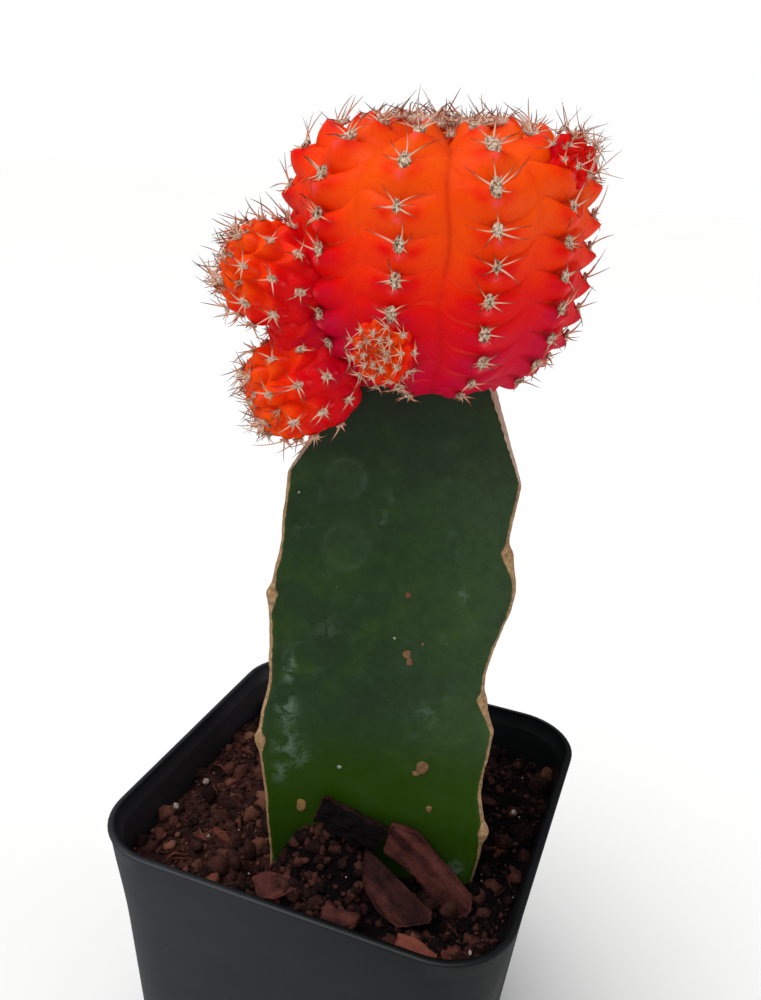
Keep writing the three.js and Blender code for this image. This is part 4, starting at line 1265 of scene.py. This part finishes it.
fleshStops = [
    (0.0, (242, 84, 0)), (0.28, (240, 52, 0)), (0.5, (226, 12, 0)),
    (0.75, (214, 0, 24)), (1.0, (196, 6, 50)),
]
youngStops = [
    (0.0, (244, 80, 0)), (0.3, (242, 50, 0)), (0.55, (228, 14, 2)),
    (0.8, (208, 2, 22)), (1.0, (192, 2, 44)),
]
redFlesh = flesh("redFlesh", fleshStops)
youngFlesh = flesh("youngFlesh", youngStops)
spineShade = spineFinish()
wool = woolFinish()
heads = [prepare(headMake)] + [prepare(offsetMake | spec) for spec in offsets]
for spec in heads:
    makeHead(spec, [other for other in heads if other is not spec])
print("heads ready")

# The potting mix, and what lies on it.
mixSize = {
    "moundAt": (1.8, -20.2),
    "moundHeight": 11.5,
    "moundRadius": (9, 8),  # along the stem's face, and out from it
    "relief": 1.3,
    "pits": [  # x, y, radius and depth
        (-8, -26, 4, 3), (-2, -32, 3.5, 2.5), (12, -30, 3.5, 2.5), (24, -22, 5, 2.5),
        (30, -6, 5, 2), (-13, -21, 3.5, 3.5),
    ],
    # Painted shade and light on the mix: darker at the front and right, a little lighter elsewhere.
    "paintedShade": 0.3,  # how much darker the shaded front and right are
    "paintedLight": -0.07,  # and the left and the back
    "unshadedAt": (30, -31),  # the front right corner is left out of the painted shade
    "unshadedRadius": 9,
    "reach": 36.3,  # how far out loose bits lie
    "crumbs": 5600,
    "clods": 210,
    "heapAt": (2, -26),
    "heapCrumbs": 150,
    "slivers": (110, 40),  # all over, and more in the front right corner
    "fibres": 90,
    "finePerlite": 26,
    # pale grains: x, y and radius
    "perlite": [(-33.5, -5, 0.8), (-30, -9, 0.7), (-34.6, -15.2, 0.9), (31, 13, 0.75), (28.5, -32, 0.4),
                (32.5, -27.7, 0.4), (15.7, -30.2, 0.3), (-24, -20, 0.4), (20, 28, 0.6), (-15, 30, 0.5)],
}


# Painted shade on the mix: it is darker in front of the stem and to its right, and a little
# lighter on the left, at the back and at the front right corner.
def paintedShadeAt(points):
    toRight = smooth(-18, 0, points[..., 0] - 0.25 * points[..., 1] - 6)
    away = np.linalg.norm(points[..., :2] - mixSize["unshadedAt"], axis=-1)
    corner = bell(away, mixSize["unshadedRadius"])
    return mix(mixSize["paintedLight"], mixSize["paintedShade"], toRight * (1 - corner))


# The mix's height: slow waves, and a heap against the stem's front.
def mixHeight(x, y):
    waves = np.sin(x * 0.31 + 1.3) * np.cos(y * 0.37) + 0.6 * np.sin(x * 0.73 - y * 0.59)
    fromTop = np.stack([x - mixSize["moundAt"][0], y - mixSize["moundAt"][1]], -1)
    along, out = fromTop @ alongFace[:2], fromTop @ intoFace[:2]
    wide, deep = mixSize["moundRadius"]
    mound = mixSize["moundHeight"] * np.exp(-((along / wide) ** 4) - (out / deep) ** 2)
    return mixLevel + mixSize["relief"] * 0.6 * waves + mound


# The crumbly top: clods, smaller clods on them, and pits between.
def topHeight(x, y):
    flat = np.stack([x, y, 0 * x], -1)
    lumps = 0.9 * noise(flat, 4.2, 61, 2) + 0.5 * np.abs(noise(flat, 1.7, 62, 3))
    edge = np.maximum(np.abs(x), np.abs(y))
    pits = sum(depth * bell(np.hypot(x - a, y - b), wide) for a, b, wide, depth in mixSize["pits"])
    return mixHeight(x, y) + lumps - 0.6 - 1.2 * smooth(33, 38, edge) - pits


# Brown shades from near-black peat to red-brown bark, by each grain's tone, painted shade included.
def mixFinish(name, roughness, stops, grain):
    finish, tree, shader = newFinish(name, Roughness=roughness, Specular_IOR_Level=0.12)
    place = objectPlace(tree)
    tone = plus(tree, valueOf(tree, "tone"), around(tree, cloud(tree, place, grain, 5, 0.7), 0.7))
    relief = bump(tree, cloud(tree, place, grain * 0.4, 5, 0.7), 0.4, 0.8)
    feed(tree, shader, Base_Color=ramp(tree, tone, stops), Normal=relief)
    return finish


peatStops = [(0.0, (9, 4, 5)), (0.3, (44, 24, 21)), (0.65, (82, 48, 39)), (1.0, (120, 78, 61))]
barkStops = [(0.0, (34, 16, 16)), (0.4, (82, 44, 38)), (0.75, (116, 64, 50)), (1.0, (150, 96, 70))]
peat = mixFinish("peat", 0.95, peatStops, 1.1)
barkShade = mixFinish("bark", 0.88, barkStops, 2.2)
chipStops = [
    (0.0, (12, 6, 8)), (0.25, (52, 26, 24)), (0.5, (94, 50, 44)), (0.75, (122, 66, 52)),
    (1.0, (160, 92, 58)),
]
chipShade = mixFinish("chipBark", 0.85, chipStops, 3.5)


# Loops up the pot's inner wall, then rings that shrink over the top to the stem.
def makeMix():
    wall, floor = potSize["wall"], potSize["floor"]
    scale = np.linspace(1, 0.03, 120)
    half = wallAt(mixLevel - 2.5) - wall - 0.15
    edge = roundedSquare(half, cornerAt(mixLevel) * 0.92, 0, 22, 34)[0]
    centre = stemMiddle * [1, 1, 0]
    ring = centre + (edge - centre) * scale[:, None, None]
    ring += rng.uniform(-0.12, 0.12, ring.shape) * (scale < 0.99)[:, None, None]
    ring[..., 2] = topHeight(ring[..., 0], ring[..., 1])
    sides = []
    for z, inset in [(floor + 0.3, 1.2), (floor + 1.7, 0.0), (30, 0.0), (56, 0.0)]:
        half, corner = wallAt(z) - wall - 0.2 - inset, cornerAt(z) - wall - inset
        sides.append(roundedSquare(half, corner, z, 22, 34)[0])
    loops = np.concatenate([np.array(sides), ring])
    points, faces = loft(loops, [*centre[:2], floor + 0.3], [*centre[:2], mixLevel])
    tone = 0.2 + 0.26 * noise(points, 3, 70, 3) - paintedShadeAt(points)
    makePiece("potting_mix", points, faces, peat, ["soil"], {"tone": tone})


# Moves places that lie past the pot's inner wall back to it. The corners are round.
def insideWall(x, y, reach=mixSize["reach"], corner=11):
    a, b = (np.clip(v, -reach + corner, reach - corner) for v in (x, y))
    away = np.maximum(np.hypot(x - a, y - b), 1e-6)
    share = np.minimum(corner / away, 1)
    return a + (x - a) * share, b + (y - b) * share


# Random places on the mix, clear of the stem and the wall.
def scatter(count):
    reach = mixSize["reach"]
    x, y = rng.uniform(-reach, reach, (2, count * 3))
    points = np.stack([x, y, topHeight(x, y)], -1)
    moved = np.hypot(*(v - w for v, w in zip(insideWall(x, y), (x, y))))
    return points[(moved < 1e-6) & ~insideStem(points, -0.6)][:count]


# Random places like these, but all of them near one spot.
def scatterNear(place, tried, radius, count):
    points = scatter(tried)
    return points[np.hypot(points[:, 0] - place[0], points[:, 1] - place[1]) < radius][:count]


# Irregular grains: copies of a ball, each with its corners moved in and out, then squashed.
def grains(shape, centres, sizes, squash):
    turns = randomTurns(len(centres))
    stretch = rng.uniform(squash, 1.0, (len(centres), 3, 1))
    axes = turns * stretch * sizes[:, None, None]
    points, faces = stamp(shape, centres, axes)
    middle = np.repeat(centres, len(shape[0]), axis=0)
    rough = 1 + 0.3 * rng.uniform(-1, 1, (len(points), 1))
    return middle + (points - middle) * rough, faces


# Each grain's tone: a random one of its own, less a random share of the painted shade.
def grainTones(shape, places, low, power):
    tones = rng.beta(low, 2.4, len(places)) - paintedShadeAt(places) * rng.random(len(places)) ** power
    return np.repeat(tones, len(shape[0]))


def makeCrumbs():
    places = scatter(mixSize["crumbs"])
    sizes = 0.2 + 0.8 * rng.random(len(places)) ** 4
    places[:, 2] += sizes * 0.25
    small = grains(pebble, places, sizes, 0.55)
    tone = grainTones(pebble, places, 1.6, 0.4)
    places = scatter(mixSize["clods"])
    sizes = rng.uniform(1.1, 2.6, len(places))
    places[:, 2] += sizes * 0.1
    big = grains(clod, places, sizes, 0.55)
    bigTone = grainTones(clod, places, 1.8, 0.6)
    heap = scatterNear(mixSize["heapAt"], 9000, 9, mixSize["heapCrumbs"])
    sizes = rng.uniform(0.5, 1.7, len(heap))
    lumps = grains(clod, heap + np.array([0, 0, 0.2]), sizes, 0.5)
    lumpTone = np.repeat(0.08 + 0.55 * rng.random(len(heap)), len(clod[0]))
    points, faces = gather([small, big, lumps])
    tone = np.concatenate([tone, bigTone, lumpTone])
    makePiece("mix_crumbs", points, faces, peat, values={"tone": tone})


# Slivers of bark: flat eight-sided flakes, longer than wide.
def makeSlivers():
    angle = np.arange(8) * np.pi / 4
    outline = np.stack([np.cos(angle), 0.42 * np.sin(angle)], -1)
    layers = [(0.85, -0.13), (1, -0.06), (1, 0.06), (0.84, 0.13)]
    loops = np.array([[(x * share, y * share, z) for x, y in outline] for share, z in layers])
    flake = loft(loops, [0, 0, -0.13], [0, 0, 0.13])
    count, cornerCount = mixSize["slivers"]
    places = scatter(count)
    near = scatterNear(mixSize["unshadedAt"], 900, mixSize["unshadedRadius"], cornerCount)
    places = np.concatenate([places, near])
    count = len(places)
    turns = randomTurns(count)
    turns[:, 2] = unit(turns[:, 2] * [0.6, 0.6, 0.2] + [0, 0, 0.75])
    turns[:, 0] = unit(np.cross(turns[:, 1], turns[:, 2]))
    turns[:, 1] = np.cross(turns[:, 2], turns[:, 0])
    sizes = 0.5 + 1.9 * rng.random((count, 1, 1)) ** 2
    places[:, 2] += 0.35
    wide, thick = rng.uniform(0.6, 1.5, count), rng.uniform(0.8, 2, count)
    shares = np.stack([np.ones(count), wide, thick], -1)[..., None]
    points, faces = stamp(flake, places, turns * sizes * shares)
    points += rng.uniform(-0.14, 0.14, points.shape)
    points[:, 0], points[:, 1] = insideWall(points[:, 0], points[:, 1], 36.8)
    tone = np.repeat(0.65 * rng.beta(1.8, 2.2, count) - 0.8 * paintedShadeAt(places), len(flake[0]))
    makePiece("bark_slivers", points, faces, barkShade, values={"tone": tone}, flat=True)


# Roots and fibres: thin stalks that wander over the mix.
def makeFibres():
    start = scatter(mixSize["fibres"])
    count = len(start)
    heading = rng.uniform(0, 2 * np.pi, count)
    bend = rng.uniform(-0.9, 0.9, count)
    length = rng.uniform(2, 6.5, count)
    t = np.linspace(0, 1, 8)
    angle = heading[:, None] + bend[:, None] * t
    step = np.stack([np.cos(angle), np.sin(angle), 0 * angle], -1) * (length / 8)[:, None, None]
    paths = start[:, None] + np.cumsum(step, axis=1) - step.mean(axis=1, keepdims=True) * 4
    paths[..., 0], paths[..., 1] = insideWall(paths[..., 0], paths[..., 1])
    arch = 0.8 * np.sin(np.pi * t) * rng.random((count, 1))
    paths[..., 2] = topHeight(paths[..., 0], paths[..., 1]) + 0.35 + arch
    radii = np.tile([0.5, 0.9, 1, 1, 1, 0.9, 0.7, 0.35], (count, 1)) * rng.uniform(0.05, 0.2, (count, 1))
    points, faces, _ = stalks(paths, radii, 5)
    tone = np.repeat(rng.uniform(0.2, 0.75, count) - 1.2 * paintedShadeAt(start), len(points) // count)
    makePiece("fibres", points, faces, barkShade, values={"tone": tone})


def perliteFinish():
    finish, tree, shader = newFinish("perlite", Roughness=0.8, Specular_IOR_Level=0.3)
    place = objectPlace(tree)
    stops = [(0.3, (96, 78, 70)), (0.55, (168, 150, 140)), (0.8, (214, 204, 196))]
    shade = ramp(tree, cloud(tree, place, 0.6, 4, 0.7), stops)
    feed(tree, shader, Base_Color=shade, Normal=bump(tree, cloud(tree, place, 0.3, 4), 0.2, 0.7))
    return finish


def makePerlite():
    x, y, sizes = np.array(mixSize["perlite"]).T
    few = scatter(mixSize["finePerlite"])
    x, y = np.append(x, few[:, 0]), np.append(y, few[:, 1])
    sizes = np.append(sizes, rng.uniform(0.14, 0.3, len(few)))
    chosen = np.stack([x, y, topHeight(x, y) + sizes * 0.4 + 0.3], -1)
    points, faces = grains(clod, chosen, sizes, 0.75)
    makePiece("perlite", points, faces, perliteFinish())


makeMix()
makeCrumbs()
makeSlivers()
makeFibres()
makePerlite()
print("potting mix ready")

# Bark chips, each placed on the stem's front face as in the solids.
# s runs along the face, h up from the mix and out in front of it. run and tip turn the chip,
# in degrees. The outline's corners lie along the grain and across it.
chips = [
    {
        "s": 11.4, "h": 4.6, "out": 3.2, "thick": 2.0, "run": -44, "tip": 14,
        "seed": 11, "tone": 0.32, "bow": 0.3, "rough": 1,
        "outline": [
            (-13, 1.6), (-10, -3), (-1.8, -2), (4.1, -3), (9.2, -1.6), (9.8, 1.4), (8, 3.4),
            (1.4, 3.6), (-8.6, 4),
        ],
    },
    {
        "s": 4.6, "h": 2.6, "out": 7.6, "thick": 2.2, "run": -44, "tip": 44,
        "seed": 12, "tone": 0.25, "bow": 0.5, "rough": 1,
        "outline": [(-10.2, 2.1), (-6, -2.4), (0.3, -3.5), (4.3, -2.4), (7.6, 2.4), (6.4, 4), (-1.2, 3)],
    },
    {
        "s": -4.4, "h": 13.2, "out": 2.7, "thick": 1.8, "run": -21, "tip": 8,
        # Chip 3's tone below 0 paints it near-black, as shade; its sides are then painted much lighter,
        # as a lit edge.
        "seed": 13, "tone": -0.45, "bow": 0.2, "rough": 3.5,
        "outline": [
            (-7.2, 4.2), (-6.9, 1), (-7.2, -1.2), (-5, -0.8), (-3.2, -2.2), (-0.4, -1.6),
            (1.6, -2.9), (3.4, -1.5), (5.6, -1.8), (6.2, 3.2), (0, 3.4),
        ],
    },
    {
        "s": -17.2, "h": 2.3, "out": 6.6, "thick": 3.4, "run": 24, "tip": 62,
        "seed": 14, "tone": 0.42, "bow": 0, "rough": 3,
        "outline": [
            (-3.6, 2.4), (-3.9, -1.6), (-0.6, -3.0), (2.4, -2.4), (5.8, -2.4), (7.4, 0.4),
            (6.4, 3.0), (3.8, 2.6), (1.8, 0.6), (-0.4, 2.2),
        ],
    },
    {
        "s": -5, "h": 1.8, "out": 12.6, "thick": 1.8, "run": -12, "tip": 66,
        "seed": 15, "tone": 0.3, "bow": 0, "rough": 4,
        "outline": [(-3.6, 2.2), (-3.0, -1.4), (0.4, -2.8), (3.4, -1.0), (4, 1.8), (0.8, 1.0)],
    },
    {
        "s": 9.4, "h": 1.7, "out": 18, "thick": 1.6, "run": -30, "tip": 64,
        "seed": 16, "tone": 0.66, "bow": 0.2, "rough": 2,
        "outline": [(-4.2, 0.4), (-3.4, -1.7), (0.6, -1.9), (3.8, -0.6), (3.4, 1.2), (-1.4, 1.5)],
    },
]


# A chip: flat faces furrowed along the grain, and straight sides round an outline whose
# corners are a little worn. Rings of the outline's shape run in over both faces.
def makeChip(spec, number):
    run, tip = np.radians([spec["run"], spec["tip"]])
    up = np.array([0, 0, 1.0])
    tipped = np.array(Matrix.Rotation(-tip, 3, Vector(alongFace)))
    long = tipped @ (alongFace * np.cos(run) + up * np.sin(run))
    across = tipped @ (-alongFace * np.sin(run) + up * np.cos(run))
    thick = np.cross(long, across)
    middle = stemSize["faceMiddle"] + alongFace * spec["s"] - intoFace * spec["out"]
    middle = middle + up * (mixLevel + spec["h"])
    corners = np.array(spec["outline"], float)
    t = np.linspace(0, 1, 16, endpoint=False)[:, None]
    edge = mix(corners[:, None], np.roll(corners, -1, axis=0)[:, None], t).reshape(-1, 2)
    edge = (np.roll(edge, 1, axis=0) + 2 * edge + np.roll(edge, -1, axis=0)) / 4
    centre = edge.mean(axis=0)
    half = spec["thick"] / 2
    face = np.linspace(0.06, 0.97, 16)
    side = np.linspace(-1, 1, 7)
    scale = np.concatenate([face, 0.99 + 0.01 * (1 - side**2), face[::-1]])[:, None]
    height = np.concatenate([np.full(16, -half), side * (half - 0.12), np.full(16, half)])[:, None]
    flat = centre + (edge - centre) * scale[..., None]
    local = np.concatenate([flat, height[..., None] + np.zeros((*flat.shape[:2], 1))], axis=-1)
    grainPlace = local * [0.22, 1.5, 0.8] + spec["seed"] * 10
    ragged = 0.22 * noise(grainPlace * [2, 1, 1.6], 1.3, 81, 3) * smooth(0.9, 0.98, scale)
    local[..., :2] += unit(local[..., :2] - centre) * ragged[..., None]
    furrow = 0.2 * noise(grainPlace, 1.5, 80, 4) + 0.25 * noise(local * [1, 1, 0], 5, 83, 2)
    onSide = np.abs(height) < half
    worn = 0.35 * smooth(0.86, 0.97, scale) * ~onSide
    local[..., 2] += (furrow - worn) * np.sign(height)
    local[..., 2] += spec["bow"] * (local[..., 0] / 8) ** 2
    knobPlace = grainPlace / [0.22, 1.5, 0.8]
    for axis in range(3):
        local[..., axis] += 0.12 * (spec["rough"] - 1) * noise(knobPlace, 1.8, 84 + axis, 3)
    loops = middle + local[..., :1] * long + local[..., 1:2] * across + local[..., 2:] * thick
    ends = [middle + centre[0] * long + centre[1] * across + thick * h for h in (-half, half)]
    points, faces = loft(loops, *ends)
    tone = spec["tone"] + 0.16 * noise(grainPlace, 3, 82, 3)
    # Sides are a little lighter; on a chip with a tone below 0 they are much lighter, a painted lit
    # edge.
    tone = tone + mix(0.12, 0.62, spec["tone"] < 0) * onSide
    values = {"tone": np.append(tone.ravel(), [spec["tone"]] * 2)}
    makePiece(f"chip_{number}", points, faces, chipShade, [f"bark_chip_{number}"], values)


for number, spec in enumerate(chips, 1):
    makeChip(spec, number)
print("chips ready")
